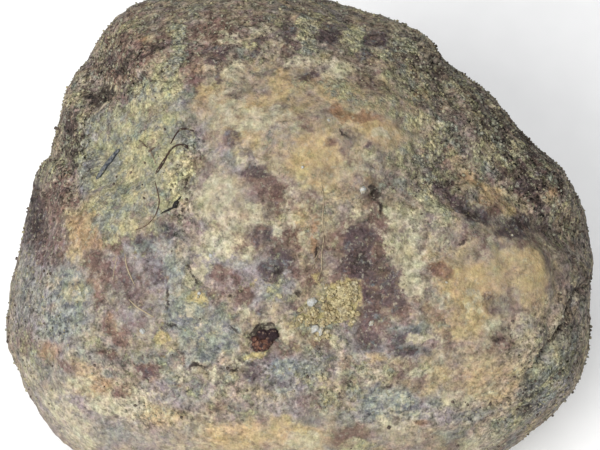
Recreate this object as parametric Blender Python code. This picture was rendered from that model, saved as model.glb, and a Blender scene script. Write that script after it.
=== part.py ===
"""White truffle: one lobed, potato-like fruiting body that lies on a small flat spot, with the bits
of litter that cling to its skin as separate pieces: a soil crumb, a crust of soil, two sand grains,
a bark splinter, a bit of twig and four rootlets.

The body is shaped in its own crown frame, in millimetres: X across, Y up the face and Z out along the
crown axis, with the origin at its middle. It lies with that axis leaning to the front (-Y), so the
whole truffle is turned by CROWN_LEAN and sliced flat underneath, where it rests at Z = 0.
"""

import math

import bmesh
import bpy
from mathutils import Matrix, Quaternion, Vector, noise
from mathutils.bvhtree import BVHTree

MM = 0.001

# Driving dimensions, in millimetres and degrees.
CROWN_LEAN = 40.0  # from vertical, towards the front
FLAT_DEPTH = 1.5  # how much of the underside is pressed flat
SKIN_GAP = 0.3  # between the skin and whatever lies on it
ICO_LEVEL = 5  # 5120 triangles, about 1.9 mm a side
CROWN_HEIGHT = 20.5  # middle to the top of the face
BACK_HEIGHT = 18.5  # middle to the top of the back
FULLNESS = 2.25  # 2 is an ellipsoid, and higher is boxier

# The outline that the face shows, seen down the crown axis: reach from the middle by angle from +X.
GIRTH = (
    (0, 27.8),
    (10, 26.8),
    (24, 23.6),
    (36, 23.1),
    (50, 22.7),
    (64, 23.3),
    (80, 22.9),
    (95, 24.2),
    (115, 26.4),
    (128, 27.6),
    (138, 26.4),
    (147, 26.1),
    (156, 24.9),
    (165, 25.7),
    (180, 26.1),
    (202, 28.8),
    (220, 28.5),
    (245, 26.6),
    (270, 25.3),
    (300, 26.4),
    (322, 28.1),
    (334, 29.6),
    (350, 28.0),
)

# Swellings and hollows: a point towards the skin, how far it rises (or sinks) and how wide it spreads.
SWELLINGS = {
    "crown": ((0.5, 8.0, 19.0), 1.0, 8.0),
    "right_knuckle": ((16.5, -5.0, 13.0), 1.5, 5.5),
    "right_cheek": ((22.5, -3.0, 8.0), 0.9, 3.2),
    "ridge_behind_valley": ((21.0, 6.5, 8.0), 1.0, 4.0),
    "lower_left_belly": ((-17.0, -14.0, 10.0), 0.8, 6.0),
    "lower_middle": ((0.0, -17.0, 13.0), 0.7, 6.0),
    "dusty_flat": ((-15.0, 7.0, 13.0), -1.3, 6.5),
    "upper_left_pocket": ((-18.0, 15.5, 8.0), -1.2, 2.6),
    "middle_dip": ((4.0, -6.0, 19.0), -0.7, 4.5),
    "crumb_pit": ((-3.1, -8.6, 18.0), -0.6, 1.8),
    "heel": ((1.0, -9.0, -17.0), 1.8, 8.0),
    "instep": ((-3.0, -19.0, -10.0), -1.2, 6.0),
    "back_hollow": ((3.0, 6.0, -18.0), -1.6, 6.0),
    "back_knob": ((-12.0, 12.0, -14.0), 1.4, 5.5),
    "back_shoulder": ((14.0, 3.0, -15.0), 1.2, 5.0),
}

# Valleys between lobes: points along the skin, depth and half width.
VALLEYS = {
    "right_diagonal": (
        ((11.0, 8.5, 16.0), (16.5, 4.5, 14.0), (22.0, 1.0, 10.0), (25.5, 0.0, 6.0)),
        1.3,
        2.0,
    ),
    "right_fold": (((27.0, -3.5, 3.0), (24.5, -7.5, 6.5), (22.0, -12.0, 7.0)), 0.9, 1.4),
    "top_right_cleft": (((13.0, 18.5, 1.0), (14.5, 15.0, 8.0)), 1.1, 1.6),
    "left_cleft": (((-26.0, 8.0, 2.0), (-22.5, 5.0, 9.0), (-22.0, -1.0, 9.5)), 0.9, 1.5),
    "back_seam": (
        ((-20.0, -4.0, -12.0), (-8.0, 1.0, -19.0), (4.0, 12.0, -15.0), (12.0, 17.0, -6.0)),
        1.4,
        2.2,
    ),
}

# Gentle lumps all over, so that no stretch of the skin is smooth.
LUMP_HEIGHT = 0.55
LUMP_SIZE = 7.0
LUMP_SEED = Vector((3.1, 7.7, 1.3))

SKIN_COLOUR = (0.36, 0.28, 0.18)
RED_SOIL_COLOUR = (0.16, 0.06, 0.03)
YELLOW_SOIL_COLOUR = (0.45, 0.33, 0.13)
SAND_COLOUR = (0.70, 0.67, 0.60)
BARK_COLOUR = (0.05, 0.06, 0.07)
TWIG_COLOUR = (0.05, 0.04, 0.03)
ROOT_COLOUR = (0.09, 0.04, 0.03)
HAIR_COLOUR = (0.20, 0.13, 0.06)
PALE_ROOT_COLOUR = (0.45, 0.36, 0.22)

# Litter on the face, placed by (across, up) as it is seen along the crown axis.
# Grains: place, half axes, turn about the way out in degrees, colour and roughness.
GRAINS = {
    "soil_crumb": ((-2.8, -7.8), (1.15, 0.95, 0.6), 20.0, RED_SOIL_COLOUR, 0.9),
    "sand_grain_upper": ((0.9, -4.6), (0.35, 0.3, 0.25), 0.0, SAND_COLOUR, 0.4),
    "sand_grain_lower": ((2.0, -7.3), (0.6, 0.3, 0.25), 10.0, SAND_COLOUR, 0.4),
}
GRAIN_LUMPS = 0.16  # share of its size that a grain's lumps stand out
CRUST_AT = (3.2, -5.0)
CRUST_HALF_AXES = (1.75, 1.85)
CRUST_THICK = 0.4  # in the middle; half that at the rim
CRUST_RINGS = 6
CRUST_SPOKES = 28
# Strands: places along it, radius in the middle, how much thinner the ends are, colour.
STRANDS = {
    "bark_splinter": (((-17.7, 6.2), (-16.9, 7.4), (-16.0, 8.5)), 0.26, 0.3, BARK_COLOUR),
    "twig_fragment": (((-11.7, 2.9), (-11.0, 3.2), (-10.5, 3.5), (-10.2, 4.0)), 0.18, 0.5, TWIG_COLOUR),
    "rootlet_dark": (
        ((-12.3, 6.4), (-11.9, 7.0), (-11.4, 7.7), (-10.9, 8.4), (-10.3, 8.8), (-9.5, 8.7)),
        0.15,
        0.4,
        ROOT_COLOUR,
    ),
    "rootlet_looped": (
        ((-11.0, 9.2), (-10.6, 9.8), (-10.1, 10.2), (-9.6, 10.1), (-9.1, 9.9)),
        0.12,
        0.4,
        ROOT_COLOUR,
    ),
    "rootlet_brown": (
        ((-12.4, 5.6), (-12.0, 4.6), (-12.0, 3.7), (-12.5, 2.7), (-13.1, 2.0), (-14.0, 1.6)),
        0.11,
        0.3,
        HAIR_COLOUR,
    ),
    "rootlet_pale": (((1.9, 5.7), (2.1, 2.5), (2.0, 0.0), (2.1, -2.2)), 0.11, 0.4, PALE_ROOT_COLOUR),
}
STRAND_STEP = 0.4  # spacing of a strand's points


def clear_scene():
    for obj in list(bpy.data.objects):
        bpy.data.objects.remove(obj)


def material(name, colour, roughness):
    made = bpy.data.materials.new(name)
    made.use_nodes = True
    shader = made.node_tree.nodes["Principled BSDF"]
    shader.inputs["Base Color"].default_value = (*colour, 1.0)
    shader.inputs["Roughness"].default_value = roughness
    shader.inputs["Metallic"].default_value = 0.0
    return made


def add_object(name, data, finish):
    obj = bpy.data.objects.new(name, data)
    data.materials.append(finish)
    bpy.context.scene.collection.objects.link(obj)
    return obj


def girth(angle):
    """Reach of the outline at an angle in degrees, on a smooth curve through GIRTH."""
    keys = [(at - 360, reach) for at, reach in GIRTH[-2:]] + list(GIRTH)
    keys += [(at + 360, reach) for at, reach in GIRTH[:2]]
    k = max(i for i in range(1, len(keys) - 2) if keys[i][0] <= angle)
    (a0, r0), (a1, r1), (a2, r2), (a3, r3) = keys[k - 1 : k + 3]
    span = a2 - a1
    slope1, slope2 = (r2 - r0) / (a2 - a0) * span, (r3 - r1) / (a3 - a1) * span
    t = (angle - a1) / span
    return (
        r1 * (2 * t**3 - 3 * t**2 + 1)
        + slope1 * (t**3 - 2 * t**2 + t)
        + r2 * (3 * t**2 - 2 * t**3)
        + slope2 * (t**3 - t**2)
    )


def body_reach(direction):
    """How far the plain body reaches from the middle along a direction."""
    across = math.hypot(direction.x, direction.y)
    along = abs(direction.z) / (CROWN_HEIGHT if direction.z > 0 else BACK_HEIGHT)
    sideways = across / girth(math.degrees(math.atan2(direction.y, direction.x)) % 360)
    return (along**FULLNESS + sideways**FULLNESS) ** (-1.0 / FULLNESS)


def distance_to_path(point, path):
    """Shortest distance from a point to a run of straight pieces."""
    nearest = math.inf
    for start, end in zip(path, path[1:]):
        along = end - start
        share = max(0.0, min(1.0, (point - start).dot(along) / along.length_squared))
        nearest = min(nearest, (point - start - share * along).length)
    return nearest


def skin_point(direction):
    """The point of the skin, in the crown frame, that lies along a direction from the middle."""
    reach = body_reach(direction)
    base = direction * reach
    rise = 0.0
    for at, height, spread in SWELLINGS.values():
        apart = (base - Vector(at).normalized() * reach).length
        rise += height * math.exp(-((apart / spread) ** 2))
    for path, depth, half_width in VALLEYS.values():
        on_skin = [Vector(at).normalized() * reach for at in path]
        rise -= depth * math.exp(-((distance_to_path(base, on_skin) / half_width) ** 2))
    rise += LUMP_HEIGHT * noise.fractal(base / LUMP_SIZE + LUMP_SEED, 0.8, 2.0, 3)
    return direction * (reach + rise)


def build_truffle(finish):
    """The fruiting body, turned to lie as it rests, sliced flat underneath and centred."""
    bm = bmesh.new()
    bmesh.ops.create_icosphere(bm, subdivisions=ICO_LEVEL, radius=1.0)
    for vertex in bm.verts:
        vertex.co = skin_point(vertex.co.normalized()) * MM
    bmesh.ops.transform(bm, matrix=Matrix.Rotation(math.radians(CROWN_LEAN), 4, "X"), verts=bm.verts)
    floor = min(vertex.co.z for vertex in bm.verts) + FLAT_DEPTH * MM
    everything = [*bm.verts, *bm.edges, *bm.faces]
    bmesh.ops.bisect_plane(
        bm, geom=everything, dist=1e-6, plane_co=(0, 0, floor), plane_no=(0, 0, -1), clear_outer=True
    )
    rim = [edge for edge in bm.edges if edge.is_boundary]
    bmesh.ops.holes_fill(bm, edges=rim)
    bmesh.ops.recalc_face_normals(bm, faces=bm.faces)
    low = Vector(min(vertex.co[i] for vertex in bm.verts) for i in range(3))
    high = Vector(max(vertex.co[i] for vertex in bm.verts) for i in range(3))
    middle = Vector(((low.x + high.x) / 2, (low.y + high.y) / 2, floor))
    bmesh.ops.translate(bm, vec=-middle, verts=bm.verts)
    mesh = bpy.data.meshes.new("truffle")
    bm.to_mesh(mesh)
    bm.free()
    mesh.shade_smooth()
    return add_object("truffle", mesh, finish), -middle


class Skin:
    """Finds places on the truffle's face, to lay litter on it."""

    def __init__(self, truffle, shift):
        mesh = truffle.data
        points = [vertex.co.copy() for vertex in mesh.vertices]
        self.tree = BVHTree.FromPolygons(points, [tuple(face.vertices) for face in mesh.polygons])
        self.turn = Matrix.Rotation(math.radians(CROWN_LEAN), 3, "X")
        self.shift = shift
        self.inwards = self.turn @ Vector((0, 0, -1))

    def at(self, across, up, lift):
        """The point, in metres, that stands lift above the skin at (across, up), and the way out."""
        above = self.turn @ (Vector((across, up, 100.0)) * MM) + self.shift
        point, normal, _, _ = self.tree.ray_cast(above, self.inwards)
        return point + normal * lift * MM, normal


def build_grain(name, at, half_axes, turn, finish, skin):
    """A lumpy grain that lies flat on the skin."""
    bm = bmesh.new()
    bmesh.ops.create_icosphere(bm, subdivisions=3, radius=1.0)
    for vertex in bm.verts:
        size = 1.0 + GRAIN_LUMPS * noise.noise(vertex.co * 1.7 + LUMP_SEED)
        vertex.co = Vector(vertex.co[i] * half_axes[i] * size * MM for i in range(3))
    mesh = bpy.data.meshes.new(name)
    bm.to_mesh(mesh)
    bm.free()
    mesh.shade_smooth()
    grain = add_object(name, mesh, finish)
    place, normal = skin.at(*at, half_axes[2] * (1.0 + GRAIN_LUMPS) + SKIN_GAP)
    facing = normal.to_track_quat("Z", "Y") @ Quaternion((0, 0, 1), math.radians(turn))
    grain.location = place
    grain.rotation_euler = facing.to_euler()
    return grain


def build_crust(finish, skin):
    """A flake of caked yellow soil: a lumpy patch along the skin, as two sheets joined at the rim."""
    bm = bmesh.new()

    def point(ring, spoke, outer):
        angle = 2 * math.pi * spoke / CRUST_SPOKES
        share = ring / CRUST_RINGS
        out = share * (1.0 + 0.14 * noise.noise(Vector((math.cos(angle), math.sin(angle), 2.0)) * 1.6))
        across = CRUST_AT[0] + CRUST_HALF_AXES[0] * out * math.cos(angle)
        up = CRUST_AT[1] + CRUST_HALF_AXES[1] * out * math.sin(angle)
        lump = 0.3 * noise.noise(Vector((across, up, 0.0)) * 1.9)
        thick = CRUST_THICK * (1.0 - 0.5 * share**3 + lump)
        return bm.verts.new(skin.at(across, up, SKIN_GAP + (thick if outer else 0.0))[0])

    sheets = []
    for outer in (True, False):
        rings = [[point(0, 0, outer)]]
        for ring in range(1, CRUST_RINGS + 1):
            rings.append([point(ring, k, outer) for k in range(CRUST_SPOKES)])
        sheets.append(rings)
        for k in range(CRUST_SPOKES):
            following = (k + 1) % CRUST_SPOKES
            bm.faces.new((rings[0][0], rings[1][k], rings[1][following]))
            for inside, outside in zip(rings[1:], rings[2:]):
                bm.faces.new((inside[k], outside[k], outside[following], inside[following]))
    top, bottom = sheets[0][-1], sheets[1][-1]
    for k in range(CRUST_SPOKES):
        following = (k + 1) % CRUST_SPOKES
        bm.faces.new((top[k], bottom[k], bottom[following], top[following]))
    bmesh.ops.recalc_face_normals(bm, faces=bm.faces)
    mesh = bpy.data.meshes.new("soil_crust")
    bm.to_mesh(mesh)
    bm.free()
    return add_object("soil_crust", mesh, finish)


def along(path, step):
    """Points about a step apart on a smooth curve through a path of (across, up) places."""
    places = [Vector(place) for place in path]
    ends = [2 * places[0] - places[1], *places, 2 * places[-1] - places[-2]]
    found = []
    for before, start, end, after in zip(ends, ends[1:], ends[2:], ends[3:]):
        count = max(1, round((end - start).length / step))
        for k in range(count):
            t = k / count
            bend = 2 * before - 5 * start + 4 * end - after
            twist = 3 * start - before - 3 * end + after
            found.append(0.5 * (2 * start + (end - before) * t + bend * t**2 + twist * t**3))
    return [*found, places[-1]]


def build_strand(name, path, radius, taper, finish, skin):
    """A strand that follows the skin, thickest in the middle, as a curve with a round section."""
    points = [skin.at(*place, radius + SKIN_GAP)[0] for place in along(path, STRAND_STEP)]
    curve = bpy.data.curves.new(name, "CURVE")
    curve.dimensions = "3D"
    curve.bevel_depth = MM
    curve.bevel_resolution = 2
    curve.use_fill_caps = True
    spline = curve.splines.new("POLY")
    spline.points.add(len(points) - 1)
    for k, (slot, point) in enumerate(zip(spline.points, points)):
        from_middle = abs(2 * k / (len(points) - 1) - 1)
        slot.co = (*point, 1.0)
        slot.radius = radius * (1.0 - taper * from_middle**2)
    return add_object(name, curve, finish)


def main():
    clear_scene()
    truffle, shift = build_truffle(material("truffle_skin", SKIN_COLOUR, 0.85))
    skin = Skin(truffle, shift)
    for name, (at, half_axes, turn, colour, roughness) in GRAINS.items():
        build_grain(name, at, half_axes, turn, material(name, colour, roughness), skin)
    build_crust(material("soil_crust", YELLOW_SOIL_COLOUR, 0.95), skin)
    for name, (path, radius, taper, colour) in STRANDS.items():
        build_strand(name, path, radius, taper, material(name, colour, 0.75), skin)


main()
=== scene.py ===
"""Looks of the white truffle: a finely modelled and painted skin, and the soil, sand, bark, twig and
roots that cling to it, on a plain pale floor in soft light.

The skin is worked in the truffle's own crown frame, in millimetres: X across the face, Y up it and Z out
along the crown axis, with the origin at the middle of the body. A place on the face is how far across and
up it lies, as seen along that axis. Meshes are then laid into the frame, which is in metres.
"""

import math
from types import SimpleNamespace

import bmesh
import bpy
import numpy as np
from mathutils import Matrix, Quaternion, Vector, noise
from mathutils.bvhtree import BVHTree


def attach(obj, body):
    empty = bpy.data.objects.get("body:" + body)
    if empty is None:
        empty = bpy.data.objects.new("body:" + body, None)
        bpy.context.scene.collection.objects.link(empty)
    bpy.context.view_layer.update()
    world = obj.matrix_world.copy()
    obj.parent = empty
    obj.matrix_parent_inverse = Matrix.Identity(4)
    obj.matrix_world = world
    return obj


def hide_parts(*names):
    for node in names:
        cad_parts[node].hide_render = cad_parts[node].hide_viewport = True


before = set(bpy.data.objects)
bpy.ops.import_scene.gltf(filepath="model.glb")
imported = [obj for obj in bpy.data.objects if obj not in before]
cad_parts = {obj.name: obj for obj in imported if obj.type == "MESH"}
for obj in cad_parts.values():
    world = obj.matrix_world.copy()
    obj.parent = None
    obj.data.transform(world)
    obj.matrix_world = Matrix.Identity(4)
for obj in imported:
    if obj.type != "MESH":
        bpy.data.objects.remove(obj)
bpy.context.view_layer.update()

MM = 0.001

# The crown frame: where its middle is, and how far its axis leans from vertical towards the front.
CROWN_LEAN = math.radians(40.0)
CROWN_MIDDLE = Vector((-0.25, 0.86, 21.36))
TURN = np.array(Matrix.Rotation(CROWN_LEAN, 3, "X"))

# The skin's mesh: a cube of faces cut into this many squares each way, blown up to the body. Its corners
# are drawn towards the face, where they lie closer together.
FACE_CUTS = 128
FACE_DRAW = 0.3
SMOOTHING_PASSES = 24
FACE_STARTS = (-3.0, 2.0)  # heights over the middle between which the back turns into the face

# How the skin stands out from the smooth body. For each kind of bump: its size, its height where the skin
# is smooth, and how much higher it is where the skin is rough.
BUMPS = {"lumps": (3.4, 0.22, 0.0), "knobbles": (1.3, 0.07, 0.08), "grain": (0.62, 0.03, 0.10)}
WRINKLE_SIZE = 2.2
WRINKLE_DEPTH = 0.16
WRINKLED_AREA_SIZE = 6.0

# How rough the skin is, from 0 to 1: in the middle of the face, how much more at its limb, and on the back.
FACE_ROUGHNESS = 0.3
LIMB_ROUGHENING = 0.45
BACK_ROUGHNESS = 0.7

# The limb, for roughness and for loose grains: the distances from the middle between which it starts, and
# how much nearer it is above and below than at the sides.
ROUGH_LIMB = (16.0, 25.0, 1.3)
GRAINY_LIMB = (19.0, 24.0, 1.2)

# The camera looks down the crown axis.
CAMERA_REACH = 190.0  # from the plane through the middle
CAMERA_AIM = (0.19, 1.9)
CAMERA_LENS = 120.0
SENSOR_WIDTH = 36.0

# Light, in metres: bearing from the front towards the right, elevation, distance, width, power and colour.
LIGHTS = {
    "key": (-30.0, 38.0, 0.6, 0.3, 3.6, (1.0, 0.99, 0.98)),
    "overhead": (-20.0, 80.0, 0.7, 0.6, 2.2, (1.0, 1.0, 1.0)),
}
LIGHT_AIM = Vector((0.0, 0.0, 0.02))
SURROUND = (0.95, 0.97, 1.0, 1.0)
SURROUND_STRENGTH = 0.31

# The floor: how far it reaches from the middle, in metres, its two greys, and how much it glows.
FLOOR_REACH = 2.0
FLOOR_DIM = (0.91, 0.91, 0.91)
FLOOR_BRIGHT = (0.93, 0.93, 0.93)
FLOOR_GLOW = 0.12

# Colours, as linear RGB.
TAN = (0.295, 0.246, 0.168)
PINKISH = (0.215, 0.175, 0.150)
MAUVE = (0.235, 0.212, 0.212)
OCHRE = (0.365, 0.278, 0.152)
RUST = (0.235, 0.150, 0.088)
GOLD = (0.37, 0.305, 0.145)
MAROON = (0.132, 0.081, 0.066)
PLUM = (0.062, 0.043, 0.044)
SLATE = (0.235, 0.25, 0.205)
BLUE_SLATE = (0.112, 0.122, 0.126)
CREAM = (0.388, 0.347, 0.241)
UMBER = (0.028, 0.020, 0.018)
OLIVE_DUST = (0.31, 0.295, 0.185)
YELLOW_DUST = (0.40, 0.36, 0.21)
GREY_DUST = (0.22, 0.225, 0.185)
BARK_EDGE = (0.018, 0.024, 0.036)
BARK_FLAT = (0.15, 0.155, 0.155)
CLOD_DARK = (0.024, 0.014, 0.016)
CLOD_RED = (0.135, 0.062, 0.040)
CLOD_PAINTED_GLINT = (0.34, 0.27, 0.20)
CLOD_SPECK = (0.26, 0.18, 0.13)
QUARTZ_YELLOW = (0.29, 0.25, 0.16)
QUARTZ_WHITE = (0.37, 0.375, 0.36)
CRUST_BROWN = (0.27, 0.21, 0.115)
CRUST_GOLD = (0.42, 0.365, 0.21)
CRUST_TAN = (0.33, 0.29, 0.20)

# The darkest and the palest colour of each kind of strand.
STRAND_COLOURS = {
    "rootlet": ((0.022, 0.011, 0.009), (0.10, 0.055, 0.035)),
    "twig": ((0.006, 0.005, 0.005), (0.04, 0.032, 0.028)),
    "pale_rootlet": ((0.085, 0.055, 0.038), (0.36, 0.29, 0.19)),
}

# Noises of the skin's colours: size, detail, roughness and seed.
SKIN_NOISES = {
    "fine": (0.2, 2.0, 0.6, 1),
    "grit": (0.42, 3.0, 0.6, 8),
    "crumble": (0.9, 6.0, 0.74, 2),
    "speck": (0.7, 4.0, 0.72, 3),
    "cloud": (2.4, 6.0, 0.70, 4),
    "drift": (1.5, 6.0, 0.70, 5),
    "clump": (1.2, 7.0, 0.70, 6),
    "blot": (1.0, 7.0, 0.72, 7),
}

# Sizes of the grains of dust, of the crumbs and of the flecks in those colours.
DUST_GRAIN = 0.27
CRUMB = 0.5
FLECK = 0.34

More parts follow.
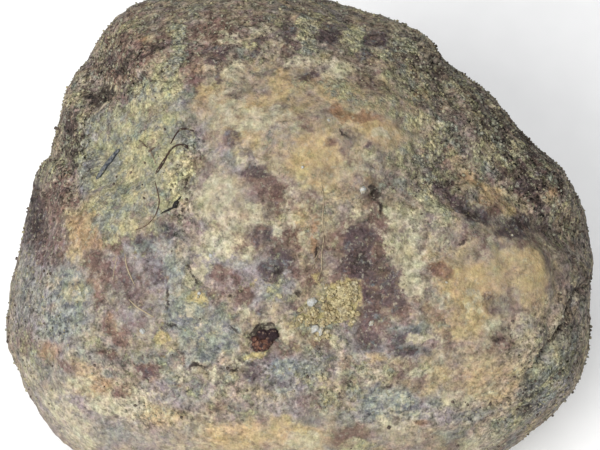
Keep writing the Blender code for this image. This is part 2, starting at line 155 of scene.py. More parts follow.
# What lies where on the face. A patch is its place across and up, half length, half width, how much of the
# skin it takes up in its middle, and the turn from the across axis in degrees, where it has one.
LEVEL = 4  # which of these is how much it takes up
PATCHES = {
    "mauve": (
        (-7, 9.6, 2.6, 2.4, 0.6), (-1, 9.2, 2, 1.4, 0.45), (-2.6, -3, 1.6, 1.4, 0.9),
        (9, -7.8, 2.6, 1.4, 0.8), (-14.6, -1, 2.6, 1.8, 0.8),
        # the left
        (-23, 0, 3.4, 3.6, 0.8), (-22.6, -7, 4, 4, 0.7), (-17, -4.6, 3.4, 3.2, 0.5),
        (-14.4, -2.2, 2, 1.6, 0.8), (-12, -1.4, 2.4, 2.6, 0.9), (-14, -5.6, 3, 1.6, 0.7),
        (-11.4, -5.8, 2, 2.4, 0.6), (-20.6, -14.6, 3.4, 3.4, 0.55), (-16, -17, 3.4, 1.6, 0.5),
        (-8.8, 0.8, 1.6, 2.6, 0.5),
        # the middle
        (-6, -2, 2.4, 1.6, 0.9), (-2.4, -2.4, 2.6, 2.2, 0.9), (-4.6, -4.8, 2.2, 1.2, 0.5),
        (-5.4, 7.4, 2, 1.6, 0.6), (-3.2, 4.8, 1.8, 1.4, 0.5), (-0.6, -10.8, 3.2, 1.8, 0.9),
        (-1, -13.6, 2.6, 1.4, 0.6),
        # the right and the bottom, and elsewhere
        (6.4, -7.8, 3, 1.8, 0.8), (9.4, -8.4, 2.6, 1.2, 0.6), (-10.6, -12.6, 3.6, 1.6, 0.6),
        (7.4, -14, 3.4, 1.8, 0.6), (12.4, -14.4, 3, 1.4, 0.6), (23.4, -13.2, 3, 2.2, 0.6, 40),
        (-18.6, 7.4, 1.8, 3, 0.5), (-23.4, -11.4, 2.4, 2.6, 0.4),
    ),
    "gold": (
        # under the flake of soil
        (4.1, -4.2, 1.5, 1.4, 1), (3.6, -5.6, 1.4, 0.8, 0.9), (1.6, -6, 1.6, 0.6, 0.8),
        (2, -7.6, 0.9, 0.35, 0.9),
        # elsewhere
        (-3.6, -9.2, 1, 0.3, 0.8, 22), (-3.7, -3.2, 0.3, 0.4, 0.6), (1.7, -3, 0.4, 1.2, 0.5),
        (-0.5, -6.4, 0.6, 0.5, 0.5), (-8.7, -4.4, 1, 0.5, 0.8), (-11.6, -7.9, 0.8, 0.5, 0.7),
    ),
    "ochre": (
        # the dome, and around it
        (-1, 11.5, 10, 5, 0.4), (-4.6, 10, 2.2, 1.6, 0.6), (3.4, 13.6, 2, 1.2, 0.6),
        (0.4, 1.6, 0.9, 1.4, 0.7), (-1.5, 14, 1, 1.2, 0.9), (-7.6, 13.3, 1.6, 0.9, 0.7, 10),
        (-2.2, 12.6, 2.6, 0.5, 0.7, 8), (1.6, 7.4, 2.2, 2, 0.95), (2.6, 5.2, 2.2, 1.8, 0.5),
        (6.7, 10.1, 1.9, 0.8, 1, -14), (7.6, 9.2, 1.6, 1, 0.6), (10.8, 13.2, 1.4, 1, 0.5),
        (13.4, 8.4, 1.6, 1, 0.4, -30),
        # below the dusty flat, at the left
        (-19, 1.6, 1.5, 1.7, 0.85), (-19.6, -0.3, 0.8, 0.9, 0.8), (-17.7, 3.6, 1.2, 0.9, 0.8),
        # the bulge on the right
        (14.6, -3.2, 3, 2, 0.9), (19.8, -1.8, 1.8, 1.6, 1), (15.2, -5.4, 1.3, 2, 1, 10),
        (20.5, -4.2, 1.2, 1.8, 0.7), (17.9, -1.6, 1.4, 2.2, 0.55, 10), (12.5, -0.6, 2.6, 1.4, 0.4),
        # the ridge behind the valley
        (16.8, 4.6, 3.2, 0.8, 0.7, -33), (18.4, 3.3, 0.8, 0.5, 0.9), (22.8, 5, 0.9, 0.9, 0.5),
        # the lower right
        (13.6, -7, 1.6, 1.2, 0.7), (17, -11.6, 3.6, 2.6, 0.6), (12, -11.4, 2, 1.6, 0.5),
        (6.6, -9.4, 0.9, 0.4, 0.8),
        # the lower left and the bottom
        (-18.4, -12.2, 2.2, 1.3, 0.5), (-19, -10.8, 1, 0.7, 0.5), (-12, -14.6, 2.4, 0.9, 0.6),
        (-5.6, -16.2, 3.4, 1.3, 0.85), (0, -16.4, 2.4, 1.2, 0.8), (-1.2, -15.1, 1, 0.6, 0.6),
    ),
    "rust": (
        # the burnt streak
        (3.4, 11.6, 0.9, 0.5, 1, -45), (5.5, 11.1, 1.5, 0.4, 1, 4), (4.6, 11.1, 0.7, 0.5, 0.9),
        # elsewhere
        (1.8, 7.4, 1.7, 1.3, 0.35), (4.2, 4.6, 1, 1.2, 0.35), (-8.8, 14.6, 0.8, 1.2, 0.5, 10),
        (-4.8, 18.8, 1, 0.5, 0.5), (-13.9, 18.2, 0.5, 0.35, 0.9, 40), (-19.2, 1.4, 1.4, 1.6, 0.5),
        (-21, 6.6, 1, 0.7, 0.6), (-17.4, -2.6, 1.1, 1.5, 0.5), (-17, 0.4, 1.6, 1, 0.6, 10),
        (-16, -6.9, 0.6, 1.3, 0.6), (-21.8, -5.4, 0.9, 0.5, 0.7), (-22.3, -9.4, 1.3, 1, 0.6),
        (-17.2, -11.9, 1.2, 0.8, 0.6), (-15.4, -12.7, 0.8, 0.6, 0.5), (1.5, 0.6, 0.45, 2.2, 0.8),
        (6.4, 5.6, 0.8, 0.5, 0.55), (1.9, -8.1, 0.8, 0.4, 0.6), (16.2, 5, 2.4, 0.5, 0.55, -33),
        (16.2, 3.9, 0.8, 0.3, 0.6, -20), (22.6, 5, 0.8, 0.6, 0.6),
        # the red spot
        (12.2, -1.9, 1.1, 0.6, 1, -8),
        # elsewhere
        (12.6, -5.4, 2, 1.4, 0.4), (10.8, 13.2, 0.9, 0.7, 0.4), (10.6, -15.2, 1, 0.4, 0.7),
        (4.6, -9.9, 1.6, 0.6, 0.35),
    ),
    "maroon": (
        # the top left
        (-15, 17.8, 4.6, 3, 0.55), (-9.2, 15.8, 1.3, 2.2, 0.7, 10), (-7.5, 19, 2.4, 1.2, 0.85),
        (-7.3, 17.2, 1.6, 1.2, 0.6), (-15.4, 13.4, 1.4, 1.2, 0.6), (-15.4, 16.2, 2.2, 1.6, 0.7, 20),
        # the left edge
        (-20.4, 9.4, 1.3, 3, 0.5), (-21.6, 4.2, 1.9, 2.2, 0.7), (-22.6, 1.4, 2.4, 2.4, 0.7),
        (-22, -0.9, 2, 0.9, 0.6), (-24.5, -8.6, 1.3, 1.6, 0.6), (-20.2, -10.4, 1.6, 0.6, 0.6),
        (-22, -12, 1.6, 1.2, 0.35),
        # the belt across the middle, and below it
        (-17.3, -1.2, 1.1, 0.7, 0.85), (-15.7, -0.2, 0.7, 0.6, 0.85), (-17.4, -2.9, 1.2, 1.6, 0.6),
        (-16.1, -6.6, 0.9, 1.6, 0.7), (-16.8, -5.2, 1.2, 0.9, 0.4), (-14.6, -3, 2.4, 2.2, 0.55),
        (-13.6, -6.6, 2.2, 1.4, 0.35), (-16.6, -9.3, 1, 0.4, 0.9), (-15.3, -8.2, 0.5, 0.6, 0.9),
        (-13, -10.8, 1.5, 0.8, 0.7), (-15.5, -12.7, 0.8, 0.6, 0.6), (-8, -14.2, 2.6, 1.1, 0.35),
        (-9.8, 1.8, 1.3, 1.1, 0.55), (-8.2, 6.8, 1.5, 1.3, 0.45), (-6.8, 9.4, 1, 0.9, 0.45),
        (0.4, 11, 1.2, 0.45, 0.7, -48), (2.6, 8.8, 0.8, 0.4, 0.6), (-2.8, 5, 1.5, 1.3, 0.8),
        (-1.7, 4.4, 0.5, 1.3, 0.7), (0.4, 3.7, 1.2, 1, 0.6), (-6.3, -2.4, 1.3, 1, 0.8),
        (-4, 0.4, 2, 1.6, 0.45), (-0.6, 0, 1.5, 1.9, 0.65), (1, -2.3, 1.5, 1.1, 0.75),
        (3.2, 1, 1.2, 1.4, 0.55), (-4.7, -4.2, 0.9, 0.8, 0.9), (6.2, -2.2, 3, 4.2, 0.8, 15),
        (7, 2.6, 0.8, 0.5, 0.7), (6.6, -6.8, 1.8, 1.8, 0.65), (9.8, -5.2, 1.8, 1.1, 0.5),
        (-0.6, -8.8, 1.5, 1.2, 0.5), (2.5, -8.8, 0.7, 0.5, 0.6), (0.8, -13.4, 1.6, 0.8, 0.45),
        (4.4, -16.4, 1.8, 1.2, 0.75), (8.4, -11.2, 1, 0.6, 0.6), (12, 0.8, 2, 1, 0.25),
        (12.2, -1.9, 1.1, 0.6, 0.6, -8), (14.2, -9, 1.4, 0.7, 0.4), (17.2, -8.4, 1.3, 0.9, 0.6, 20),
        (18.7, -4.6, 0.8, 2, 0.4),
        # the diagonal valley and behind it: partly the skin's own dark colour, partly painted shade
        (12.9, 5.2, 2, 1.2, 0.6, -35), (17.3, 3.3, 1, 0.6, 0.8), (15, 10.5, 4.6, 3.2, 0.35, -45),
        (20.6, 6.2, 3, 2.6, 0.6, -30), (20, 1.8, 2.4, 1, 0.4), (23, 0, 2.2, 3.4, 0.4),
        # elsewhere
        (6.4, 15.2, 1.2, 2, 0.5), (2.6, 16.2, 3.6, 0.8, 0.35, -5), (-1.6, 15.9, 2, 1, 0.3),
        (14, 7.6, 2.6, 1.4, 0.5, -30), (-15.2, 1, 1.4, 0.8, 0.45), (18.6, -3, 0.9, 1.6, 0.35),
        (0.2, -4.8, 0.9, 0.9, 0.5), (12.2, -8.2, 1.6, 0.9, 0.5), (15, -11, 1.6, 1.2, 0.3),
    ),
    "plum": (
        # the top
        (-17.2, 16.9, 0.9, 0.7, 0.7), (-7.2, 16.9, 1.2, 0.9, 0.7), (-6.9, 14.7, 0.35, 0.55, 0.9),
        (-3.3, 17.8, 1, 0.5, 0.8), (-3.6, 16.9, 0.5, 0.4, 0.8), (2.8, 18.6, 1.3, 1, 0.95),
        (7, 18.6, 1.4, 0.9, 0.95), (-0.9, 19.2, 0.7, 1.4, 0.8), (5.7, 16.9, 0.9, 0.8, 0.6),
        (0.2, 17.6, 0.9, 0.4, 0.6), (0.9, 14.7, 0.8, 0.6, 0.8), (6.4, 14.8, 0.5, 0.8, 0.6),
        (7.4, 13.2, 0.6, 0.5, 0.5),
        # the middle
        (6.1, 8.7, 0.4, 0.3, 0.6), (-5.6, 9.4, 0.9, 0.9, 0.5), (-3.5, 6.3, 1.3, 0.7, 0.8),
        (-2.3, 3.3, 0.7, 0.6, 0.6), (-5, 1.6, 0.7, 0.9, 0.5), (-3.2, 1.1, 1, 1, 0.75),
        (-1.4, -1, 1.3, 1.1, 0.8),
        # the big dark patch, and below it
        (5.2, 0.9, 1.4, 1.3, 0.95), (5.3, -1.5, 1.8, 1.3, 1), (7.2, -1.8, 1.3, 1.3, 0.6),
        (6.8, -3.9, 1.7, 1, 0.8), (8.3, -2.8, 0.5, 1.2, 0.7), (5.9, -8.2, 1.5, 1, 0.7),
        (5.3, -6.6, 0.8, 0.8, 0.4),
        # mostly the left
        (-24.2, 2.4, 1.5, 3, 0.8), (-22, -0.7, 1.4, 0.6, 0.4), (-21.3, 4.6, 1.3, 0.9, 0.3),
        (-13, -0.5, 0.8, 0.6, 0.6), (-12.2, -2, 1.3, 1.2, 0.5), (8.2, -4.8, 1, 0.8, 0.75),
        (-15, -2.6, 1, 1.2, 0.4), (-13.5, -4.4, 1.2, 1, 0.5), (-12.9, -9.2, 1.2, 0.8, 0.4),
        (-13.2, -10.9, 0.9, 0.5, 0.5), (-3.9, -10.8, 1.1, 0.8, 0.6), (-2.2, -9.3, 0.8, 0.5, 0.5, 20),
        (-1.5, -11.5, 0.9, 0.4, 0.5), (-3.2, -5.2, 0.5, 0.4, 0.7), (-10.6, -11.4, 1, 0.5, 0.4),
        # mostly the right
        (12.6, 5.7, 1, 0.8, 0.6), (13.9, 4.1, 0.9, 0.6, 0.7, -30), (14.7, 3.1, 1.2, 0.7, 0.9, -35),
        (16.2, 2.6, 0.8, 0.5, 0.6), (19.6, 2.1, 1.3, 0.5, 0.8), (18.6, 1.2, 1.3, 0.6, 0.8),
        (20, 6, 2.2, 1.4, 0.6, -20), (22.4, 2.6, 1.4, 1.2, 0.5), (23.4, -2.2, 0.9, 2.4, 0.3),
        (16.9, -4.9, 1.2, 1.1, 0.5), (17.6, -7.6, 1.3, 0.6, 0.5, 30), (9.3, -8.8, 1.8, 0.5, 0.9, -5),
        (8.6, -7.6, 1, 0.5, 0.7), (-2.4, -2, 1.2, 0.9, 0.9), (-13.4, 0.6, 1.3, 0.9, 0.6),
        (-11.6, 1.4, 1, 0.9, 0.6), (9.4, -7.1, 1.6, 0.3, 0.5, 3), (8.6, -15.1, 0.6, 0.4, 0.5),
        (7.7, -12, 0.8, 0.25, 0.6, 15), (-21.4, -1.8, 1.2, 0.8, 0.35), (6.2, -5.6, 1.2, 0.7, 0.6),
        (-12, -5.2, 1, 0.8, 0.4),
    ),
    "slate": (
        # the dusty flat, and around it
        (-14, 8, 5.4, 6.6, 0.25, -10), (-18.6, 9.4, 1.1, 3, 0.6), (-10, 12.6, 1, 1.4, 0.7),
        (-9.6, 10.9, 0.8, 1, 0.5), (-13.2, 7.2, 1.2, 0.8, 0.35), (-18.6, 5.8, 0.9, 1.6, 0.6),
        (-16.7, 1.2, 1, 0.9, 0.6), (-4.6, 10.8, 1.3, 0.6, 0.6), (-3.9, 13.2, 0.9, 0.5, 0.5),
        (-15.5, 14.8, 1.6, 1.6, 0.3), (-5.6, 7, 0.9, 1.6, 0.5),
        # the left and the middle
        (-12, 0.2, 2.6, 1.8, 0.5), (-10.6, -1.8, 1.3, 1.8, 0.7), (-19.8, -3.6, 1.9, 1.7, 0.95),
        (-20.2, -6.6, 2.6, 1.7, 0.85, 20), (-22.8, -4.6, 1.4, 1.2, 0.7), (-24.6, -4, 1.2, 3, 0.6),
        (-19, -8.8, 1.1, 0.6, 0.6), (-14.8, -4.4, 0.9, 0.8, 0.3), (-10.6, -5.4, 1.2, 1.8, 0.7),
        (-7.8, -7.6, 2.3, 2.3, 0.95), (-8.6, -5.6, 1.1, 1, 0.7), (-5.2, -7.8, 0.7, 1.3, 0.8),
        (-9.3, -9.1, 0.8, 0.9, 0.8), (-13.6, -9.4, 1, 0.7, 0.6), (-10.6, -11.3, 1.2, 0.9, 0.6),
        (-16.6, -11.1, 0.6, 0.5, 0.8), (-2, -3.6, 1.6, 1.3, 0.6), (-4.2, -1.2, 1.2, 0.8, 0.5),
        (-1, -10.3, 1.4, 0.8, 0.7), (-0.2, -8.4, 1.1, 0.8, 0.5), (-1, -13, 1, 1.3, 0.6),
        (4.6, -9, 0.7, 0.9, 0.6), (7, -2.6, 0.6, 0.5, 0.5),
        # mostly the lower right
        (8, -13.6, 2.8, 1.5, 0.95), (4.4, -14.8, 1.6, 0.9, 0.6), (1.6, -15, 1.4, 0.7, 0.5),
        (9.6, -7, 2, 0.5, 0.8, 3), (10, -8.8, 1.8, 0.5, 0.7, -5), (12.2, -13, 1.6, 1.2, 0.4),
        (15.4, -14.6, 2.2, 0.9, 0.5, 10), (13.4, -16.4, 1.4, 0.6, 0.6), (16.8, -4.8, 0.9, 0.9, 0.7),
        (21.2, -12.4, 2.4, 2, 0.8, 40), (23.6, -10, 1.8, 3, 0.6, -20), (19.6, -15.2, 1.8, 1.2, 0.6, 40),
        (15, 3, 1.6, 0.8, 0.6, -35), (18.4, 1.1, 1.6, 0.8, 0.6), (12.6, 9.6, 2.2, 1.2, 0.4, -30),
        (17.6, 7.6, 1.2, 2, 0.4), (-17.4, -16.2, 1.6, 1.1, 0.6), (-15.2, -16.6, 1.5, 0.9, 0.5),
        (-9, -15.8, 1.6, 0.8, 0.4), (7, 18.5, 1.4, 0.9, 0.4), (2.8, 18.5, 1.2, 0.9, 0.4),
        (-22.4, -12.4, 2.6, 2.2, 0.5), (-20, -15.6, 2.2, 1.4, 0.55, -40),
    ),
    "cream": (
        (-6.9, 4.6, 1.7, 1.7, 0.8), (-6.2, 2.2, 1.6, 1.6, 0.65), (-6.8, 0, 1.8, 1.3, 0.75),
        (-3.6, 3, 0.8, 0.8, 0.7), (-7.9, -0.8, 1, 0.9, 0.6), (-9, -2.6, 1.1, 0.9, 0.85, 30),
        (-4.3, -0.4, 0.6, 0.5, 0.8), (-1.8, 1.3, 0.6, 0.6, 0.8), (-0.8, 2.5, 0.7, 0.4, 0.6),
        (-4.6, -5.6, 0.6, 0.7, 0.8), (-2.4, -2.6, 0.5, 0.4, 0.7), (-4.8, 7.4, 0.5, 0.5, 0.8),
        (-3.1, 7.3, 0.5, 0.4, 0.6), (-5.5, 15.2, 0.8, 0.8, 0.8), (-6, 18.3, 1.2, 0.6, 0.6),
        (-3.2, 18.9, 0.9, 0.5, 0.7), (3.2, 14.8, 1, 0.7, 0.8), (7, 9.8, 1.1, 0.5, 0.9, -10),
        (-3.8, 10.8, 3.6, 1.4, 0.6), (3.6, 15.6, 2, 0.9, 0.7), (0, 1.2, 0.7, 1.2, 0.6),
        (-11.9, 12.8, 1.8, 1.2, 0.4), (-16, 9.6, 1.4, 1, 0.4), (-19.8, -3.6, 1.7, 1.5, 0.5),
        (-16.8, -5.4, 0.7, 0.4, 0.6), (-16.2, -14, 3, 0.9, 0.8), (-13.6, -13.2, 1.4, 0.9, 0.6),
        (-12.8, -17.4, 1.6, 0.6, 0.35), (-9.8, -10.8, 1.2, 0.7, 0.7), (-7.2, -10.9, 0.6, 0.5, 1),
        (-7.8, -7.2, 1.4, 1.4, 0.35), (0.3, -16.7, 1.8, 0.9, 0.7), (-0.5, -12.5, 0.6, 0.6, 0.5),
        (6.6, -11.2, 1.1, 0.9, 0.8), (8.6, -13.4, 2, 1.1, 0.3), (10.6, -10.7, 1.3, 0.5, 1),
        (10.6, -7.9, 1.7, 0.35, 0.8, 2),
        # the pale patch beside the big dark one
        (8.4, -0.4, 1.2, 1.1, 0.9), (9.4, -1.2, 1.6, 1.4, 1), (7.6, 0.9, 0.8, 0.9, 0.8),
        (9.9, 2.4, 1.4, 0.9, 0.7, -40),
        # elsewhere
        (-21.2, -14.6, 2.6, 1.6, 0.65, -40), (-18.8, -12.4, 2, 1.3, 0.5),
        (-19.6, -16.8, 2.4, 1.4, 0.6, -40), (16.6, -17, 2.8, 1.2, 0.75, 30), (-9, -17.6, 3, 1, 0.4),
        (8.6, -15, 2, 1.2, 0.6), (-24.4, -11, 1.2, 2, 0.5, 20), (8, -16.6, 2.4, 0.8, 0.2),
        (9.8, -3.1, 1.1, 0.9, 0.85), (8, 3.1, 0.7, 0.5, 0.9), (8.6, 1.4, 1.4, 0.9, 0.6),
        (11.6, 3.5, 2.3, 0.7, 0.9, -38), (11, 0.6, 1.8, 0.7, 0.6), (15.3, -4.6, 0.9, 1.4, 0.55),
        (16.6, -6.9, 1.1, 0.8, 0.6), (20, -1.6, 1, 0.9, 0.3), (13.6, -13.2, 1.3, 0.9, 0.7),
        (17, -12.4, 1.6, 0.8, 0.4), (22.8, -7.6, 0.5, 1.8, 0.6, -25), (25.2, -4.3, 0.6, 0.9, 0.8),
        (11.2, -14.2, 1.4, 0.6, 0.4), (-6.2, 12.6, 1.6, 1.2, 0.55), (0.2, 16.2, 1.4, 0.8, 0.55),
        (-9.2, -5.4, 1, 0.7, 0.6), (12.2, -4.6, 1, 0.8, 0.5), (3.4, -8.2, 1.2, 0.7, 0.6),
        (23.9, -8.6, 0.8, 1.2, 0.4, -25), (0.2, -11.2, 0.9, 0.8, 0.5), (15, -13.8, 1.2, 0.8, 0.6),
    ),
    "umber": (
        # the hollow in the upper left, painted dark as the shade in it
        (-18, 13.9, 1.4, 1.2, 1), (-17.1, 17, 1.3, 0.9, 0.85), (-15.9, 15.8, 1.2, 0.8, 0.8, 30),
        (-12.9, 17.5, 1.2, 0.7, 0.6, 20), (-14.7, 13.9, 0.4, 0.8, 0.6), (-13.6, 14.9, 0.9, 0.5, 0.6),
        (-18.4, 15.4, 1.6, 1, 0.4, 45), (-14, 17, 1.6, 0.4, 0.5, 20),
        # elsewhere
        (-20.6, 9.8, 1.2, 2.4, 0.75), (18.4, 7.2, 1.8, 1.6, 0.45, -40), (21.4, 4.2, 1.6, 1.2, 0.5, -40),
        (5.3, -1.4, 1.6, 1.1, 0.5), (-20.4, 7.6, 1, 0.8, 0.5), (-22.6, 7.4, 1.4, 1, 0.35),
        (-21.2, 4.6, 1.2, 0.8, 0.25), (-24.4, 3, 1.2, 2.8, 0.6), (-24.6, -5.8, 1.2, 2.4, 0.35),
        (-1.7, -1.8, 0.9, 0.35, 0.6), (-5.5, -4, 0.7, 0.35, 0.7), (-0.1, -3.8, 0.5, 0.5, 0.6),
        (1.65, -0.4, 0.15, 0.7, 0.8),
        # the hole, painted dark as the shade in it
        (6.6, 4.7, 0.6, 0.4, 0.95, -30), (7.1, 3.3, 0.3, 0.8, 0.7),
        # elsewhere
        (-2.9, -7.6, 1.4, 1.2, 0.55), (-8.5, -10.3, 0.7, 0.35, 0.7), (-5.6, -10.6, 0.5, 0.25, 0.6, 10),
        (-10.2, -8.9, 0.5, 0.35, 0.6), (-10.8, -7, 1.2, 0.6, 0.4), (11.1, 5.2, 0.9, 0.3, 0.7, -30),
        # the diagonal valley and the upper right behind it: partly the skin's own dark colour, partly painted
        # shade
        (12.6, 5.8, 0.9, 0.7, 0.45), (14.7, 3.1, 1.1, 0.6, 0.65, -35), (19.8, 2.2, 1.2, 0.45, 0.6),
        (12.7, 15.5, 0.9, 0.6, 0.8), (14.2, 13.2, 0.7, 1.6, 0.5), (17.2, 11.4, 1.8, 0.9, 0.55, -45),
        (16.6, 8.2, 0.8, 2, 0.5), (20.8, 5.8, 2, 1.4, 0.6, -20), (12.6, 11.8, 5.4, 3.4, 0.22, -45),
        (19.6, 9.8, 4.6, 1.8, 0.55, -48), (22.8, 6.4, 2.4, 1.4, 0.55, -50), (11, 17.4, 3, 1.4, 0.5, -25),
        # elsewhere
        (-16.4, 17.4, 3, 1.2, 0.35, 40), (8.8, 7.2, 1.4, 1.8, 0.35), (6.6, 13.6, 1.8, 1.2, 0.3, -30),
        # the right rim and the folds beside it: painted shade where the skin turns away and under the flap
        (24.8, 1.4, 1.2, 4, 0.25), (26.9, 0, 1, 6, 0.5, -4), (25.3, -3.9, 0.8, 0.22, 1, 30),
        (24.3, -5.4, 0.25, 0.9, 0.9), (23.6, -7.2, 0.25, 1, 0.7, -30), (24.7, -3.9, 0.6, 0.3, 0.8),
        # elsewhere
        (21, -12.4, 1.8, 1.2, 0.45, 30), (20.8, -14, 1.4, 0.8, 0.6, 40), (25, -9.6, 1, 3, 0.35, -20),
        (10.6, -15.2, 0.9, 0.35, 0.5), (17.4, -7.6, 1.2, 0.5, 0.4, 30),
    ),
    "dust": (
        # the dusty flat
        (-14, 7.6, 5.2, 6.2, 0.85, -12), (-12.2, 13.4, 2.6, 1.4, 0.9), (-16.4, 2.4, 2, 1.8, 0.8),
        # elsewhere
        (-10.4, 17.6, 0.8, 2.2, 1.3, 10), (-11.8, 15.4, 0.8, 0.8, 0.7), (-16, 18.4, 3, 1.4, 0.5, 40),
        (0.9, 18.8, 0.8, 2, 1.3), (5, 18.6, 1.1, 1.1, 1.1), (4.4, 17.4, 1.2, 0.6, 0.7),
        (7.8, 16.7, 0.8, 0.7, 0.8), (9.2, 18.2, 1.4, 0.8, 0.9, -20), (7.6, 14.6, 1, 1, 0.9),
        (-4.6, 17.2, 0.8, 0.7, 0.6), (3.6, 12.6, 4.2, 1.6, 0.6, -30), (9.6, 13, 3.4, 3.4, 0.6),
        (10.8, 7.6, 2.8, 3.4, 0.6), (14.2, 11, 4.6, 3.6, 0.55, -45), (18.2, 8.4, 2.6, 2.6, 0.5, -45),
        (21.6, 7, 2, 1.4, 0.5, -45), (24.4, 2, 1.6, 2.6, 0.45), (12, 3.4, 2.4, 0.9, 0.6, -38),
        (8.6, 5.4, 1.4, 2, 0.5), (-8.6, -4.4, 1.1, 0.5, 0.9), (-9.4, -3.2, 1, 0.6, 0.5),
        (3.2, -5.1, 2.2, 1.8, 0.8), (1.2, -6.3, 1.4, 0.7, 0.6), (-3.6, -9.2, 1.1, 0.3, 0.9, 22),
        (-11.6, -7.7, 0.8, 0.5, 0.8), (-11, -8.7, 0.7, 0.5, 0.8), (-5.7, -11, 0.7, 0.6, 0.7),
        (-8, -12, 3, 0.8, 0.4), (4.8, -12.6, 1.1, 1.1, 0.85), (2.6, -13, 1.3, 0.9, 0.65),
        (1.2, -11, 1.4, 1, 0.8), (6.8, -11, 1.2, 0.9, 0.5), (2.6, -16, 0.5, 0.35, 0.7),
        (5.2, -17.2, 2, 0.7, 0.6), (10.8, -10.6, 1.4, 0.5, 0.4), (22.4, -10.6, 2.8, 3.6, 0.5, -20),
        (20.6, -8.4, 1.6, 1.2, 0.4), (18.6, -15.6, 2.6, 1.4, 0.5, 30), (-24, -10, 2, 4, 0.4, 15),
        (-21.2, -15, 2.4, 1.4, 0.5, -40), (-20.4, 10, 1.2, 3, 0.45), (-23, 7.2, 1.4, 1.4, 0.5),
        (-19.4, -4, 1.4, 1.2, 0.35), (-1.9, -3.6, 1.2, 1, 0.45),
    ),
}

# Patches where the skin is rougher or smoother than elsewhere. Instead of a share, each says how rough.
ROUGHNESS = (
    (-14.5, 7.5, 4.5, 5.6, 0.3, -12), (0, 19.5, 16, 3, 0.62), (-17, 16, 3.4, 3.4, 0.95),
    (-20.6, 8.4, 2, 5, 1), (13.6, 14.4, 6, 3.4, 0.95, -45), (20.6, 6.6, 7, 3, 1, -42),
    (12.6, 7, 4, 3.4, 0.75, -40), (-9.5, 6, 1.4, 6, 0.75, -8), (-2, 12, 7, 3.4, 0.1),
    (2.6, 7.6, 4.6, 2.6, 0.05), (8, 9.6, 2.4, 1.6, 0, -18), (-6.4, 4.4, 2.4, 2.6, 0.15),
    (18, -2.4, 5, 3.4, 0), (14.6, -5.6, 3, 2.6, 0.2), (14.6, -11.4, 4, 2.6, 0.3), (-0.6, -16, 4.4, 2, 0.2),
    (-3, -11.4, 10, 2.6, 0.5), (4, -10, 3.4, 2.6, 0.5), (-19.4, -3, 1.8, 4, 0.3), (-24.6, 0, 2.2, 8, 0.62),
    (-20.6, -14, 4.4, 7, 0.35, 35), (0, -17.6, 20, 2.6, 0.2),
)

# Patches where the skin lies bare of dust and slate, and how bare. At the right rim and in the hollow at the
# upper left, this keeps the painted shade free of dust.
BARE = (
    (6.2, 10.5, 3, 1.3, 1, -14), (3.4, 11.7, 1.2, 0.8, 0.8, -45), (1.8, 7.2, 2.8, 2, 0.8),
    (-3, 11.8, 6.4, 2.6, 0.6), (17.4, -2.6, 5, 3.6, 0.75), (14.8, -5.6, 2.6, 2.4, 0.7),
    (5.6, -1.4, 3.4, 4.4, 0.6), (16.4, -11.4, 4, 2.6, 0.5), (-18.8, -12, 2.4, 1.4, 0.5),
    (-1, -16.2, 4.6, 1.4, 0.5), (-18.8, 1.2, 1.8, 2.2, 0.6), (-21.8, 2.6, 2.2, 3.6, 0.6),
    (-18, 14, 1.6, 1.4, 1), (-2.6, 5.2, 2, 1.6, 0.7), (-2.2, -0.8, 2.6, 2, 0.6), (26.8, -1.6, 1, 6, 0.5),
    (-7.4, 18.6, 2.6, 1.8, 0.8), (-9, 15.6, 1.2, 2, 0.6, 10), (-15.4, 17, 3.2, 1.6, 0.8, 30),
    (6.4, 14.8, 1.6, 2, 0.7), (13.4, 12.4, 2.6, 1.4, 0.5, -45), (0.8, 15.2, 2, 1, 0.7),
    (-20.8, -15.2, 3.4, 2.2, 0.8, -40), (9.3, -1, 1.5, 1.4, 1), (2.8, 18.6, 1.2, 0.9, 0.8),
    (7, 18.6, 1.3, 0.8, 0.8), (-0.9, 19.2, 0.6, 1.3, 0.8),
)

# Patches where the colours run together more softly than elsewhere, and how much more softly.
SOFT = (
    (-20.6, -13.4, 7.6, 5.4, 0.45, -40), (-4, -17.2, 18, 3, 0.5), (8, -17, 6, 2.4, 0.5),
    (17, -11.4, 6.4, 4.4, 0.45, 20), (18, -3.2, 5, 3.4, 0.4), (22, -9, 2.4, 4, 0.35, -20),
    (-6.4, 4.2, 2.8, 2.6, 0.35), (-7.6, 9.6, 2.4, 3, 0.25), (1.8, 7.6, 4, 3, 0.2),
    (7.4, 9.8, 2.2, 1.2, 0.4, -14),
)

# How much of each kind there is between the patches on the face, and all over the rest of the skin, and
# how much that varies from place to place.
SPREAD = {
    "mauve": (0.10, 0.20, 0.35),
    "gold": (0.02, 0.05, 0.20),
    "ochre": (0.20, 0.35, 0.30),
    "rust": (0.05, 0.15, 0.25),
    "maroon": (0.30, 0.42, 0.45),
    "plum": (0.08, 0.22, 0.35),
    "slate": (0.20, 0.25, 0.40),
    "cream": (0.22, 0.25, 0.40),
    "umber": (0.08, 0.20, 0.20),
    "dust": (0.24, 0.40, 0.30),
}
CLAIM = 0.75  # how much a patch keeps that spread of the others out
CREASE_PAINTED_SHADE = 0.3  # how much more plum is painted into a crease, as painted shade
